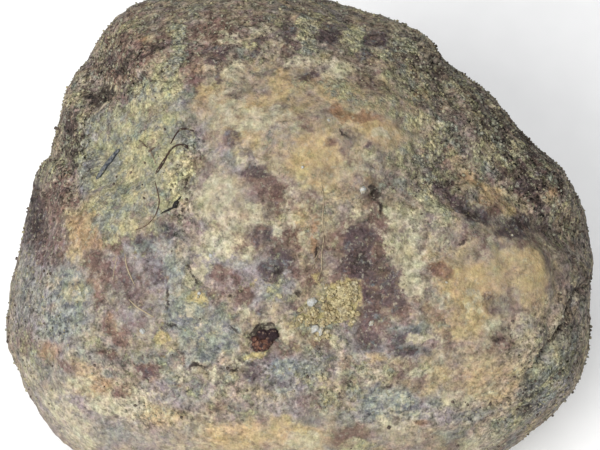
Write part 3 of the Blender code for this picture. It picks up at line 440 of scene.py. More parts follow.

# Creases in the face: depth, half width and places along each.
CREASES = {
    "crease_by_the_flat": (0.3, 0.5, ((-8.8, 11.4), (-8.2, 8.6), (-9.2, 4.2), (-11.2, 0.8))),
    "groove_on_the_bulge": (0.3, 0.8, ((17.6, -0.4), (18.4, -2.6), (19, -5), (18.4, -7))),
    "outer_fold": (0.75, 0.45, ((25.9, -3.6), (24.5, -4.6), (24.2, -6.2), (22.8, -8.4), (20.4, -11.6))),
    "middle_fold": (0.3, 0.35, ((26, -4.4), (25.2, -6.8), (23.8, -9.4))),
    "inner_fold": (0.3, 0.6, ((22.6, -1.6), (22.9, -4.2), (22, -7.2))),
    "diagonal_valley": (0.5, 1.1, ((10.6, 5.6), (12.6, 5), (14.6, 3.3), (19.6, 1.6), (23, 1))),
    "cleft_at_the_top": (0.6, 0.5, ((12.2, 16.6), (13.2, 14.6), (14.4, 12.6))),
    "step_at_the_left": (0.4, 0.5, ((-24, 8.6), (-22.4, 8.4), (-20.6, 7.4), (-19.6, 3.6))),
    "crack_below_the_clod": (0.2, 0.3, ((-9.2, -10.3), (-6.6, -10.8), (-4.2, -10.6))),
    "dent_by_the_lump": (0.25, 0.4, ((-17.6, -8), (-16.6, -9.4), (-15.2, -8.6))),
}

# Thin cracks, painted dark as the shade in them: places along each. Their ends close up over a short stretch.
CRACK_TAPER = 0.5
CRACK_REACH = 2.0  # how far from a crack its distance is kept
NO_CRACK = 9.0  # how far from every crack a point counts as having none
CRACKS = (
    ((-9.2, 6.5), (-9.6, 5.6), (-9.7, 4.6)),
    ((-6.1, -6.8), (-5.4, -6.9), (-5, -7.6)),
    ((3.4, 10.2), (3.8, 9.6), (4.4, 9.4)),
    ((26.4, -2.4), (25.7, -3.5), (24.6, -3.7), (24.2, -4.6), (24.4, -5.6), (23.8, -6.9), (22.9, -8.4)),
    ((25.9, -3.4), (25.4, -5), (24.9, -6.6), (24, -8.4)),
    ((1.6, 0.3), (1.65, -0.9)),
    ((6.8, 4.2), (7.05, 3.4), (7.1, 2.7)),
    ((-9.7, -1.1), (-9, -2.3), (-8.1, -3.4)),
    ((-11.3, -3.2), (-11, -4.5), (-11.4, -5.6)),
    ((7, -12.2), (7.7, -12), (8.3, -11.7)),
    ((0.8, -9.6), (1.3, -9.1), (1.6, -9.4)),
    ((-14.7, 16.2), (-13.4, 16.8), (-12.3, 17.1)),
    ((-8.9, -10.4), (-8.2, -10.2), (-7.6, -10.3)),
    ((-6, -10.8), (-5.4, -10.4), (-4.8, -10.2)),
    ((-4.2, -8.6), (-4.1, -7.6), (-3.4, -6.7), (-2.2, -6.6), (-1.7, -7.4), (-2.1, -8.4)),
    ((14.8, 0.8), (14.2, 0.4), (13.4, 0.3)),
)

# Pits and knobs in the face: place, radius and rise.
KNOBS = {
    "dark_hole": ((6.6, 4.6), 0.5, -0.7),
    "clod_pit": ((-2.8, -7.7), 1.3, -0.45),
    "round_scar": ((16.8, -4.8), 0.9, -0.25),
    "upper_left_pocket": ((-17.9, 14.0), 1.5, -0.7),
    "upper_left_small_pocket": ((-14.2, 14.4), 0.8, -0.4),
    "knob_by_the_hole": ((5.4, 5.2), 0.8, 0.25),
    "cheek": ((20.4, -2.4), 1.8, 0.4),
    "ridge_knob": ((16.6, 5.6), 1.8, 0.4),
    "lens": ((6.8, 9.9), 1.5, 0.25),
    "lump_at_the_left": ((-16.0, -6.8), 0.8, 0.35),
    "dust_lump": ((-6.4, 3.6), 1.8, 0.25),
    "left_ledge": ((-25.2, 6.9), 0.9, 0.5),
}

# Strands that lie on the face. Each piece has the CAD node that it stands for, if any, its slot, and its
# strands: radius, share of it left at the ends, tone from 0 to 1, and places along each.
STRANDS = {
    "rootlet_dark_strand": ("rootlet_dark", "rootlet", (
        (0.14, 0.45, 0.1, ((-12.2, 6.35), (-11.8, 6.9), (-11.3, 7.7))),
        (0.09, 0.6, 0.2, (
            (-11.9, 6.8), (-11.5, 7.3), (-11.1, 8.1), (-10.8, 8.5), (-10.3, 8.8), (-9.8, 8.85), (-9.5, 8.6),
        )),
        (0.14, 0.5, 0.1, ((-9.7, 8.75), (-9.45, 8.6), (-9.35, 8.45))),
    )),
    "rootlet_looped_strand": ("rootlet_looped", "rootlet", (
        (0.08, 0.5, 0.2, (
            (-10.95, 8.9), (-10.6, 9.5), (-10.3, 10), (-9.9, 10.2), (-9.5, 10.15), (-8.9, 9.95),
        )),
        (0.12, 0.5, 0.1, ((-10.2, 10.05), (-9.9, 10.15), (-9.6, 10.15))),
    )),
    "rootlet_brown_strand": ("rootlet_brown", "rootlet", (
        (0.055, 0.6, 0.6, (
            (-12.3, 5.7), (-12.1, 4.9), (-11.85, 4), (-12, 3.2), (-12.3, 2.6), (-12.8, 2),
        )),
        (0.045, 0.4, 0.9, ((-12.7, 2.1), (-13.4, 1.6), (-14, 1.5))),
    )),
    "twig_fragment_strand": ("twig_fragment", "twig", (
        (0.10, 0.4, 0.1, ((-11.7, 2.9), (-11.2, 3.1), (-10.9, 3.3), (-10.45, 3.45))),
        (0.22, 0.7, 0.0, ((-10.6, 3.4), (-10.4, 3.6), (-10.3, 3.9))),
        (0.08, 0.4, 0.2, ((-10.35, 3.8), (-10.2, 4.1), (-9.95, 4.35))),
    )),
    "rootlet_pale_strand": ("rootlet_pale", "pale_rootlet", (
        (0.055, 0.5, 0.6, (
            (2, 5.4), (2.2, 4), (2.1, 2.4), (2.2, 0.8), (2, -0.6), (2.05, -1.8), (1.7, -2.8),
        )),
        (0.04, 0.4, 0.4, ((2.1, 0.2), (1.5, -0.9), (1.3, -2))),
    )),
    "root_hairs": (None, "pale_rootlet", (
        (0.06, 0.6, 0.5, ((-12.75, 8.25), (-12.4, 7.7), (-12.2, 7.1))),
        (0.1, 0.5, 0.0, ((-12.9, 8.25), (-12.6, 8.5), (-12.3, 8.6))),
        (0.07, 0.5, 0.1, ((-13.8, 9.3), (-13.4, 8.9), (-13, 8.6))),
        (0.06, 0.5, 0.9, ((-14.9, -0.6), (-14.8, -1.6), (-14.4, -2.5), (-14, -3.3))),
        (0.06, 0.5, 1.0, ((-14.5, -4.5), (-14, -5), (-13.2, -5.5), (-12.3, -6))),
        (0.04, 0.5, 0.8, ((-15.6, -0.9), (-15.9, -1.9), (-16, -2.9))),
    )),
}
STRAND_STEP = 0.1  # between the places that a strand is built through, about
STRAND_LIFT = 0.45  # how far its middle lies out of the skin, in radii

# The splinter of bark: places along it, half width, half thickness, and how far its middle lies out of the
# skin, in half widths.
SPLINTER = ((-17.65, 5.95), (-17.0, 6.9), (-16.3, 7.8), (-15.65, 8.5))
SPLINTER_HALF_WIDTH = 0.27
SPLINTER_HALF_THICKNESS = 0.1
SPLINTER_LIFT = 0.6

# Lumps of soil and stone on the face. Each piece has the CAD node that it stands for, if any, its slot, and
# its lumps: place across and up, half axes across, up and out, and tone.
LUMPS = {
    "soil_crumb_clod": ("soil_crumb", "red_soil", (
        (-3.15, -8.2, 0.78, 0.66, 0.55, 0.75), (-3.5, -8.6, 0.34, 0.28, 0.36, 0.9),
        (-2.6, -8, 0.42, 0.4, 0.42, 0.55), (-3.05, -7.35, 0.5, 0.38, 0.45, 0.2),
        (-2.1, -7.3, 0.52, 0.46, 0.45, 0.1), (-2.45, -7.7, 0.35, 0.35, 0.4, 0.3),
        (-3.7, -7.75, 0.3, 0.3, 0.32, 0.45),
        # painted glints on it: small pale lumps
        (-3, -8.45, 0.12, 0.11, 0.6, 1.6), (-3.3, -7.95, 0.1, 0.09, 0.6, 1.5),
        (-2.7, -7.45, 0.08, 0.08, 0.46, 1.4),
    )),
    "sand_grain_upper_stone": ("sand_grain_upper", "sand", ((1.15, -4.62, 0.42, 0.36, 0.3, 0.8),)),
    "sand_grain_lower_stone": ("sand_grain_lower", "sand", (
        (1.45, -6.95, 0.38, 0.3, 0.28, 0.9), (1.95, -7.15, 0.4, 0.24, 0.26, 0.5),
        (2.5, -7.2, 0.3, 0.2, 0.2, 0.1),
    )),
    "sand_specks": (None, "sand", (
        (-13.3, -7.2, 0.26, 0.22, 0.2, 0.9), (5.5, 4.9, 0.3, 0.28, 0.24, 0.7),
        (6.3, -6.5, 0.28, 0.2, 0.2, 0.6), (-8.4, -3.9, 0.16, 0.14, 0.14, 0.9),
        (-7.4, -0.7, 0.17, 0.15, 0.14, 0.9), (18.6, 1, 0.11, 0.1, 0.1, 0.4),
        (2.6, 10.8, 0.14, 0.12, 0.12, 0.8), (0.4, 6.8, 0.14, 0.12, 0.12, 0.9),
        (-15.6, 7.4, 0.13, 0.12, 0.12, 0.8), (12.7, -3, 0.11, 0.1, 0.1, 0.4),
    )),
}
LUMP_LIFT = 0.3  # how far the middle of a lump lies out of the skin, as a share of its half height

# The clumps that the flake of yellow soil is caked from: place across and up, and radius. Grains of many
# sizes lie on each of them, highest in its middle.
CRUST_CLUMPS = (
    (4.1, -3.9, 0.95), (4.7, -3.3, 0.45), (4.1, -5.5, 0.7), (3.4, -4.8, 0.55), (2.8, -5.9, 0.55),
    (3.6, -6.1, 0.4), (2.5, -5.1, 0.4), (2.2, -6.4, 0.35), (1.3, -5.6, 0.5), (0.9, -6.3, 0.35),
    (1.6, -6.3, 0.3), (0.2, -6, 0.3), (2.9, -3.9, 0.45), (2.1, -4.4, 0.3), (4.8, -4.5, 0.25),
    (0.3, -5.2, 0.2), (2.5, -3.3, 0.25), (3.4, -3.1, 0.25), (-0.5, -6.5, 0.2), (5.1, -5.6, 0.2),
    (4.6, -6.5, 0.25), (1.7, -7.6, 0.35), (2.4, -7.6, 0.3),
)
CLUMP_SHAPE = (0.85, 0.85, 0.3)  # half axes, as shares of the radius
CRUST_GRAINS_PER_MM2 = 26.0
CRUST_GRAIN_SIZES = (0.07, 0.19)  # their half axes, about

# Loose grains of soil, scattered over the skin, most of them where it is dusty and rough. Many are close to
# the smallest size, and few are larger by nearly all of the spread.
SOIL_GRAINS = 9000
GRAINS_ANYWHERE = 0.06  # how likely they are where there is no dust
GRAINS_AT_LIMB = 0.7  # how much likelier they are at the limb
SMALLEST_GRAIN = 0.055
GRAIN_SPREAD = 0.12
LOWEST_GRAINS = 0.0006  # metres over the ground, below which none lie


def to_row(points):
    """Crown-frame millimetres to row-frame metres."""
    return (points @ TURN.T + np.array(CROWN_MIDDLE)) * MM


def smoothstep(low, high, values):
    share = np.clip((values - low) / (high - low), 0.0, 1.0)
    return share * share * (3.0 - 2.0 * share)


def noise_at(points, size, seed, octaves=3, roughness=0.9):
    """Fractal noise, about -1 to 1, with lumps of a size in millimetres."""
    shift = Vector((seed * 1.7, seed * 3.1, seed * 0.7))
    return np.array([noise.fractal(Vector(p) / size + shift, roughness, 2.0, octaves) for p in points])


def stirred(points, size, reach, seed, octaves=3):
    """Where each point lies on the face, moved about a little, so that what is drawn there gets ragged."""
    wander = np.stack([noise_at(points, size, seed + k, octaves) for k in range(2)], 1)
    return points[:, :2] + reach * wander


def unit_rows(ways):
    return ways / np.linalg.norm(ways, axis=1)[:, None]


def cube_sphere(cuts):
    """Unit directions and outward squares of a cube cut up and blown up to a sphere."""
    keys, squares = [], []
    lattice = np.arange(-cuts, cuts + 1, 2)
    for axis in range(3):
        for side in (-1, 1):
            first, second = np.meshgrid(lattice, lattice, indexing="ij")
            face = np.empty((cuts + 1, cuts + 1, 3), int)
            face[..., axis] = side * cuts
            face[..., (axis + 1) % 3] = first
            face[..., (axis + 2) % 3] = second
            start = sum(len(k) for k in keys)
            index = start + np.arange((cuts + 1) ** 2).reshape(cuts + 1, cuts + 1)
            corners = (index[:-1, :-1], index[1:, :-1], index[1:, 1:], index[:-1, 1:])
            ring = np.stack(corners, -1).reshape(-1, 4)
            keys.append(face.reshape(-1, 3))
            squares.append(ring if side > 0 else ring[:, ::-1])
    unique, index = np.unique(np.concatenate(keys), axis=0, return_inverse=True)
    spread = unit_rows(np.tan(unique / cuts * math.pi / 4)) + (0.0, 0.0, FACE_DRAW)
    return unit_rows(spread), index.reshape(-1)[np.concatenate(squares)]


def vertex_normals(points, squares):
    a, b, c, d = (points[squares[:, k]] for k in range(4))
    across = np.cross(c - a, d - b)
    total = np.zeros_like(points)
    for k in range(4):
        for axis in range(3):
            total[:, axis] += np.bincount(squares[:, k], across[:, axis], len(points))
    return unit_rows(total)


def averaging(squares, count):
    """A function that averages a value over each vertex's neighbours."""
    ends = np.concatenate([squares[:, [k, (k + 1) % 4]] for k in range(4)])
    ends = np.unique(np.sort(ends, axis=1), axis=0)
    here = np.concatenate([ends[:, 0], ends[:, 1]])
    there = np.concatenate([ends[:, 1], ends[:, 0]])
    degree = np.bincount(here, minlength=count)
    return lambda values: np.bincount(here, values[there], count) / degree


def body_reach(directions, squares):
    """How far the CAD body reaches along each direction, with its facets smoothed away."""
    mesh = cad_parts["truffle"].data
    tree = BVHTree.FromPolygons([v.co for v in mesh.vertices], [tuple(p.vertices) for p in mesh.polygons])
    start = CROWN_MIDDLE * MM
    reach = np.array([tree.ray_cast(start, Vector(way))[3] for way in directions @ TURN.T]) / MM
    average = averaging(squares, len(directions))
    for _ in range(SMOOTHING_PASSES):
        reach = 0.5 * (reach + average(reach))
    return reach


def patch_share(face, patch, edge=0.5):
    """How much of a patch covers each point: 1 inside, fading out across its edge."""
    across, up, half_length, half_width, _, turn = (*patch, 0)[:6]  # the turn is 0 where a patch has none
    angle = math.radians(turn)
    along, beside = face[:, 0] - across, face[:, 1] - up
    length = along * math.cos(angle) + beside * math.sin(angle)
    width = beside * math.cos(angle) - along * math.sin(angle)
    return 1.0 - smoothstep(1.0 - edge, 1.0 + edge, np.hypot(length / half_length, width / half_width))


def path_distance(face, path):
    nearest = np.full(len(face), np.inf)
    for start, end in zip(path, path[1:]):
        start, way = np.array(start), np.array(end) - np.array(start)
        share = np.clip((face - start) @ way / (way @ way), 0.0, 1.0)
        nearest = np.minimum(nearest, np.linalg.norm(face - start - share[:, None] * way, axis=1))
    return nearest


def limb(face, low, high, squeeze):
    """How far each point of the face lies towards its limb, from 0 to 1."""
    return smoothstep(low, high, np.hypot(face[:, 0], squeeze * face[:, 1]))


def rough_layer(face, front):
    """How rough the skin is at each point, from 0 to 1."""
    rough = FACE_ROUGHNESS + LIMB_ROUGHENING * limb(face, *ROUGH_LIMB)
    rough = rough * front + BACK_ROUGHNESS * (1.0 - front)
    for patch in ROUGHNESS:
        rough = rough + (patch[LEVEL] - rough) * (front * patch_share(face, patch))
    return rough


def ragged_layer(face, front):
    """How raggedly the colours meet at each point: 1 or less."""
    ragged = np.ones(len(face))
    for patch in SOFT:
        ragged = ragged * (1.0 - patch[LEVEL] * front * patch_share(face, patch, edge=0.7))
    return ragged


def relief(points, front, rough):
    """How far the skin stands out from the smooth body, in millimetres, and how deep it lies in a crease."""
    face = stirred(points, size=1.6, reach=0.35, seed=21)
    sunk = np.zeros(len(points))
    for depth, half_width, path in CREASES.values():
        sunk += front * depth * np.exp(-((path_distance(face, path) / half_width) ** 2))
    rise = -sunk
    for place, radius, height in KNOBS.values():
        rise += front * height * np.exp(-(((face - place) / radius) ** 2).sum(1))
    bumps = np.zeros(len(points))
    for seed, (size, height, rough_height) in enumerate(BUMPS.values(), 1):
        bumps += (height + rough_height * rough) * noise_at(points, size, seed, 2)
    wrinkles = 1.0 - smoothstep(0.0, 0.16, np.abs(noise_at(points, WRINKLE_SIZE, 4, 2)))
    wrinkled = smoothstep(-0.1, 0.3, noise_at(points, WRINKLED_AREA_SIZE, 5))
    return rise + bumps - WRINKLE_DEPTH * wrinkles * wrinkled, sunk


def paint(points, front, sunk):
    """How much of the skin each kind of patch takes up at each point, by name."""
    face = stirred(points, size=1.1, reach=0.45, seed=31, octaves=4)
    shares = {kind: [front * patch_share(face, patch) for patch in PATCHES[kind]] for kind in PATCHES}
    free = np.ones(len(points))
    for kind, patches in PATCHES.items():
        for share, patch in zip(shares[kind], patches):
            free = free * (1.0 - CLAIM * patch[LEVEL] * share)
    layers = {}
    for seed, (kind, patches) in enumerate(PATCHES.items()):
        on_face, elsewhere, swing = SPREAD[kind]
        level = elsewhere + (on_face - elsewhere) * front
        drift = swing * noise_at(points, 2.6, 50 + seed, 4)
        drift = drift + 0.7 * (1.0 - front) * noise_at(points, 9.0, 70 + seed)
        level = (level + drift) * free
        for share, patch in zip(shares[kind], patches):
            level = level + (patch[LEVEL] - level) * share
        layers[kind] = level
    # More plum in the creases: painted shade.
    layers["plum"] = layers["plum"] + CREASE_PAINTED_SHADE * smoothstep(0.15, 0.5, sunk)
    for patch in BARE:
        kept = 1.0 - patch[LEVEL] * front * patch_share(face, patch)
        for kind in ("dust", "slate"):
            layers[kind] = layers[kind] * kept
    return {kind: np.clip(level, 0.0, 1.0) for kind, level in layers.items()}


def measured(path):
    """The lengths of the stretches of a path, and how far along it each of its places lies."""
    lengths = np.linalg.norm(np.diff(path, axis=0), axis=1)
    return lengths, np.concatenate([[0.0], np.cumsum(lengths)])


def crack_layers(face, front):
    """How far each point lies to the left of the nearest crack, and how open that crack is beside it."""
    aside, opening = np.full(len(face), NO_CRACK), np.zeros(len(face))
    for path in CRACKS:
        lengths, reached = measured(path)
        for start, end, length, before in zip(path, path[1:], lengths, reached):
            way = (np.array(end) - start) / length
            along = (face - start) @ way
            left = (face - start) @ (-way[1], way[0])
            apart = np.hypot(left, along - np.clip(along, 0.0, length))
            from_end = np.minimum(before + along, reached[-1] - before - along)
            nearer = apart < np.abs(aside)
            aside = np.where(nearer, np.where(left < 0.0, -apart, apart), aside)
            opening = np.where(nearer, smoothstep(0.0, CRACK_TAPER, from_end), opening)
    return np.clip(aside, -CRACK_REACH, CRACK_REACH), opening * front


def mesh_of(name, points, faces):
    mesh = bpy.data.meshes.new(name)
    mesh.from_pydata([tuple(p) for p in points], [], [tuple(f) for f in faces])
    mesh.validate()
    mesh.shade_smooth()
    obj = bpy.data.objects.new(name, mesh)
    bpy.context.scene.collection.objects.link(obj)
    return obj


def put_floats(mesh, name, values):
    layer = mesh.attributes.new(name, "FLOAT", "POINT")
    layer.data.foreach_set("value", values.astype(np.float32))


def icosphere(level):
    shape = bmesh.new()
    bmesh.ops.create_icosphere(shape, subdivisions=level, radius=1.0)
    points = np.array([tuple(v.co) for v in shape.verts])
    faces = np.array([[v.index for v in f.verts] for f in shape.faces])
    shape.free()
    return points, faces


def rounded(places, passes):
    """The places along a line, each drawn towards its neighbours, with the two ends kept."""
    for _ in range(passes):
        places[1:-1] = 0.25 * (places[:-2] + 2.0 * places[1:-1] + places[2:])
    return places


def evenly(path):
    """Places along a path at an even step, with its corners rounded off."""
    reached = measured(path)[1]
    along = np.linspace(0.0, reached[-1], max(7, int(reached[-1] / STRAND_STEP)))
    return rounded(np.stack([np.interp(along, reached, line) for line in np.transpose(path)], 1), 8)


def tube_faces(rings, sides):
    """Faces of a closed tube of rings of points, whose two last points are its tips."""
    tip, last_ring = rings * sides, (rings - 1) * sides
    around = [(j, (j + 1) % sides) for j in range(sides)]
    faces = []
    for k in range(0, last_ring, sides):
        faces += [(k + j, k + after, k + sides + after, k + sides + j) for j, after in around]
    faces += [(tip, after, j) for j, after in around]
    return faces + [(tip + 1, last_ring + j, last_ring + after) for j, after in around]


class Ground:
    """The finished skin, to lay things on."""

    def __init__(self, points, squares):
        self.tree = BVHTree.FromPolygons(points.tolist(), squares.tolist())

    def under(self, place):
        """The point of the skin at a place on the face, and the way it faces."""
        point, normal = self.tree.ray_cast(Vector((*place, 60.0)), Vector((0.0, 0.0, -1.0)))[:2]
        return np.array(point), np.array(normal)


class Heap:
    """Closed lumps and strands gathered into one mesh, each of them with a tone of its own."""

    def __init__(self):
        self.points, self.faces, self.tones, self.count = [], [], [], 0

    def add(self, points, faces, tone):
        self.points.append(points)
        self.faces += [tuple(self.count + k for k in face) for face in faces]
        self.tones.append(np.broadcast_to(tone, len(points)))
        self.count += len(points)

    def add_lump(self, ground, place, half_axes, tone, seed, level=4, rough=0.3):
        """An uneven lump that sits in the skin by a third of its height."""
        points, faces = icosphere(level)
        swell = 1.0 + rough * noise_at(points, 1.1, seed, 2) + 0.5 * rough * noise_at(points, 0.4, seed, 2)
        point, normal = ground.under(place)
        axes = np.array(Vector(normal).to_track_quat("Z", "Y").to_matrix())
        shaped = points * swell[:, None] * half_axes
        self.add(point + shaped @ axes.T + normal * half_axes[2] * LUMP_LIFT, faces.tolist(), tone)

    def add_strand(self, ground, path, radius, end_share, tone, seed, flat=1.0, sides=8, lift=STRAND_LIFT):
        """A strand laid along a path on the skin. A flat one is darker along its two edges."""
        laid = [ground.under(place) for place in evenly(path)]
        along = np.linspace(0.0, 1.0, len(laid))
        wander = noise_at(np.stack([along * 3.0, along * 0.0, along * 0.0], 1), 0.35, seed, 3)
        normals = np.array([normal for _, normal in laid])
        centres = rounded(np.array([point for point, _ in laid]) + normals * radius * lift, 4)
        ways = np.gradient(centres, axis=0)
        across = unit_rows(np.cross(ways, normals))
        centres = centres + across * (0.25 * radius * wander)[:, None]
        thick = radius * (1.0 - (1.0 - end_share) * np.abs(2.0 * along - 1.0) ** 3) * (1.0 + 0.18 * wander)

        around = np.arange(sides) * 2.0 * math.pi / sides
        ring = across[:, None] * np.cos(around)[None, :, None]
        ring = ring + normals[:, None] * flat * np.sin(around)[None, :, None]
        points = (centres[:, None] + ring * thick[:, None, None]).reshape(-1, 3)
        tips = centres[[0, -1]] + (np.array([-1.0, 1.0]) * thick[[0, -1]])[:, None] * unit_rows(ways[[0, -1]])
        tones = np.tile(tone - (1.0 - flat) * np.abs(np.cos(around)) ** 3, len(laid))
        self.add(np.concatenate([points, tips]), tube_faces(len(laid), sides), np.append(tones, (tone, tone)))

    def build(self, name, material, node=None):
        piece = mesh_of(name, to_row(np.concatenate(self.points)), self.faces)
        put_floats(piece.data, "tone", np.concatenate(self.tones))
        piece.data.materials.append(material)
        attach(piece, "root")
        if node:
            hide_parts(node)


def build_strands(ground):
    materials = {slot: strand_material(slot, *colours) for slot, colours in STRAND_COLOURS.items()}
    for number, (name, (node, slot, strands)) in enumerate(STRANDS.items()):
        heap = Heap()
        for k, (radius, end_share, tone, path) in enumerate(strands):
            heap.add_strand(ground, path, radius, end_share, tone, 200 + 10 * number + k)
        heap.build(name, materials[slot], node)


def build_splinter(ground):
    heap = Heap()
    flat = SPLINTER_HALF_THICKNESS / SPLINTER_HALF_WIDTH
    heap.add_strand(ground, SPLINTER, SPLINTER_HALF_WIDTH, 0.5, 0.8, 290, flat, 16, SPLINTER_LIFT)
    heap.build("bark_splinter_sliver", bark_material(), "bark_splinter")


def build_lumps(ground):
    materials = {"red_soil": red_soil_material(), "sand": quartz_material()}
    for number, (name, (node, slot, lumps)) in enumerate(LUMPS.items()):
        heap = Heap()
        for k, (across, up, *half_axes, tone) in enumerate(lumps):
            heap.add_lump(ground, (across, up), half_axes, tone, 300 + 20 * number + k)
        heap.build(name, materials[slot], node)


def build_crust(ground):
    """The flake of yellow soil: grains of many sizes, heaped in clumps."""
    chance = np.random.default_rng(5)
    heap = Heap()
    for across, up, radius in CRUST_CLUMPS:
        heap.add_lump(ground, (across, up), radius * np.array(CLUMP_SHAPE), 0.0, 3, level=3)
        for _ in range(int(CRUST_GRAINS_PER_MM2 * math.pi * radius**2)):
            turn, out = chance.uniform(0.0, 2.0 * math.pi), math.sqrt(chance.uniform())
            spot = (across + radius * out * math.cos(turn), up + radius * out * math.sin(turn))
            half_axes = chance.uniform(*CRUST_GRAIN_SIZES) * chance.uniform(0.75, 1.25, 3)
            half_axes[2] += CLUMP_SHAPE[2] * radius * (1.0 - out * out)
            tone, seed = chance.uniform(), int(chance.integers(900))
            heap.add_lump(ground, spot, half_axes, tone, seed, level=2, rough=0.5)
    heap.build("soil_crust_clumps", crust_material(), "soil_crust")


def build_grains(points, normals, weights, dark):
    """Loose grains, half sunk in the skin, most where the weights are high, and darker on dark skin."""
    chance = np.random.default_rng(11)
    spots = chance.choice(len(points), SOIL_GRAINS, replace=False, p=weights / weights.sum())
    shape, faces = icosphere(1)
    heap = Heap()
    for spot in spots:
        turned = Quaternion(chance.normal(size=4)).normalized().to_matrix()
        uneven = shape * chance.uniform(0.7, 1.3, (len(shape), 1)) * chance.uniform(0.75, 1.25, 3)
        size = SMALLEST_GRAIN + GRAIN_SPREAD * chance.uniform() ** 3
        middle = points[spot] + normals[spot] * size * chance.uniform(-0.1, 0.5)
        tone = chance.uniform() * (1.0 - 0.7 * dark[spot])
        heap.add(middle + size * uneven @ np.array(turned), faces.tolist(), tone)
    heap.build("soil_grains", loose_soil_material())


def build_skin():
    """The truffle's skin, as a mesh with its painted layers, and the loose grains on it."""
    directions, squares = cube_sphere(FACE_CUTS)
    body = directions * body_reach(directions, squares)[:, None]
    face, front = body[:, :2], smoothstep(*FACE_STARTS, body[:, 2])
    rough = rough_layer(face, front)
    rise, sunk = relief(body, front, rough)
    points = body + vertex_normals(body, squares) * rise[:, None]
    placed = to_row(points)
    placed[:, 2] = np.maximum(placed[:, 2], 0.0)
    skin = mesh_of("skin", placed, squares)
    layers = paint(body, front, sunk)
    aside, opening = crack_layers(face, front)
    extra = {"rough": rough, "ragged": ragged_layer(face, front), "crack_aside": aside, "crack_open": opening}
    for name, level in {**layers, **extra}.items():
        put_floats(skin.data, name, level)
    weights = GRAINS_ANYWHERE + layers["dust"] + GRAINS_AT_LIMB * (front * limb(face, *GRAINY_LIMB))
    weights = weights * (0.1 + rough) ** 3 * (placed[:, 2] > LOWEST_GRAINS)
    dark = np.clip(layers["umber"] + layers["plum"] + 0.6 * layers["maroon"], 0.0, 1.0)
    build_grains(points, vertex_normals(points, squares), weights, dark)
    return skin, Ground(points, squares)


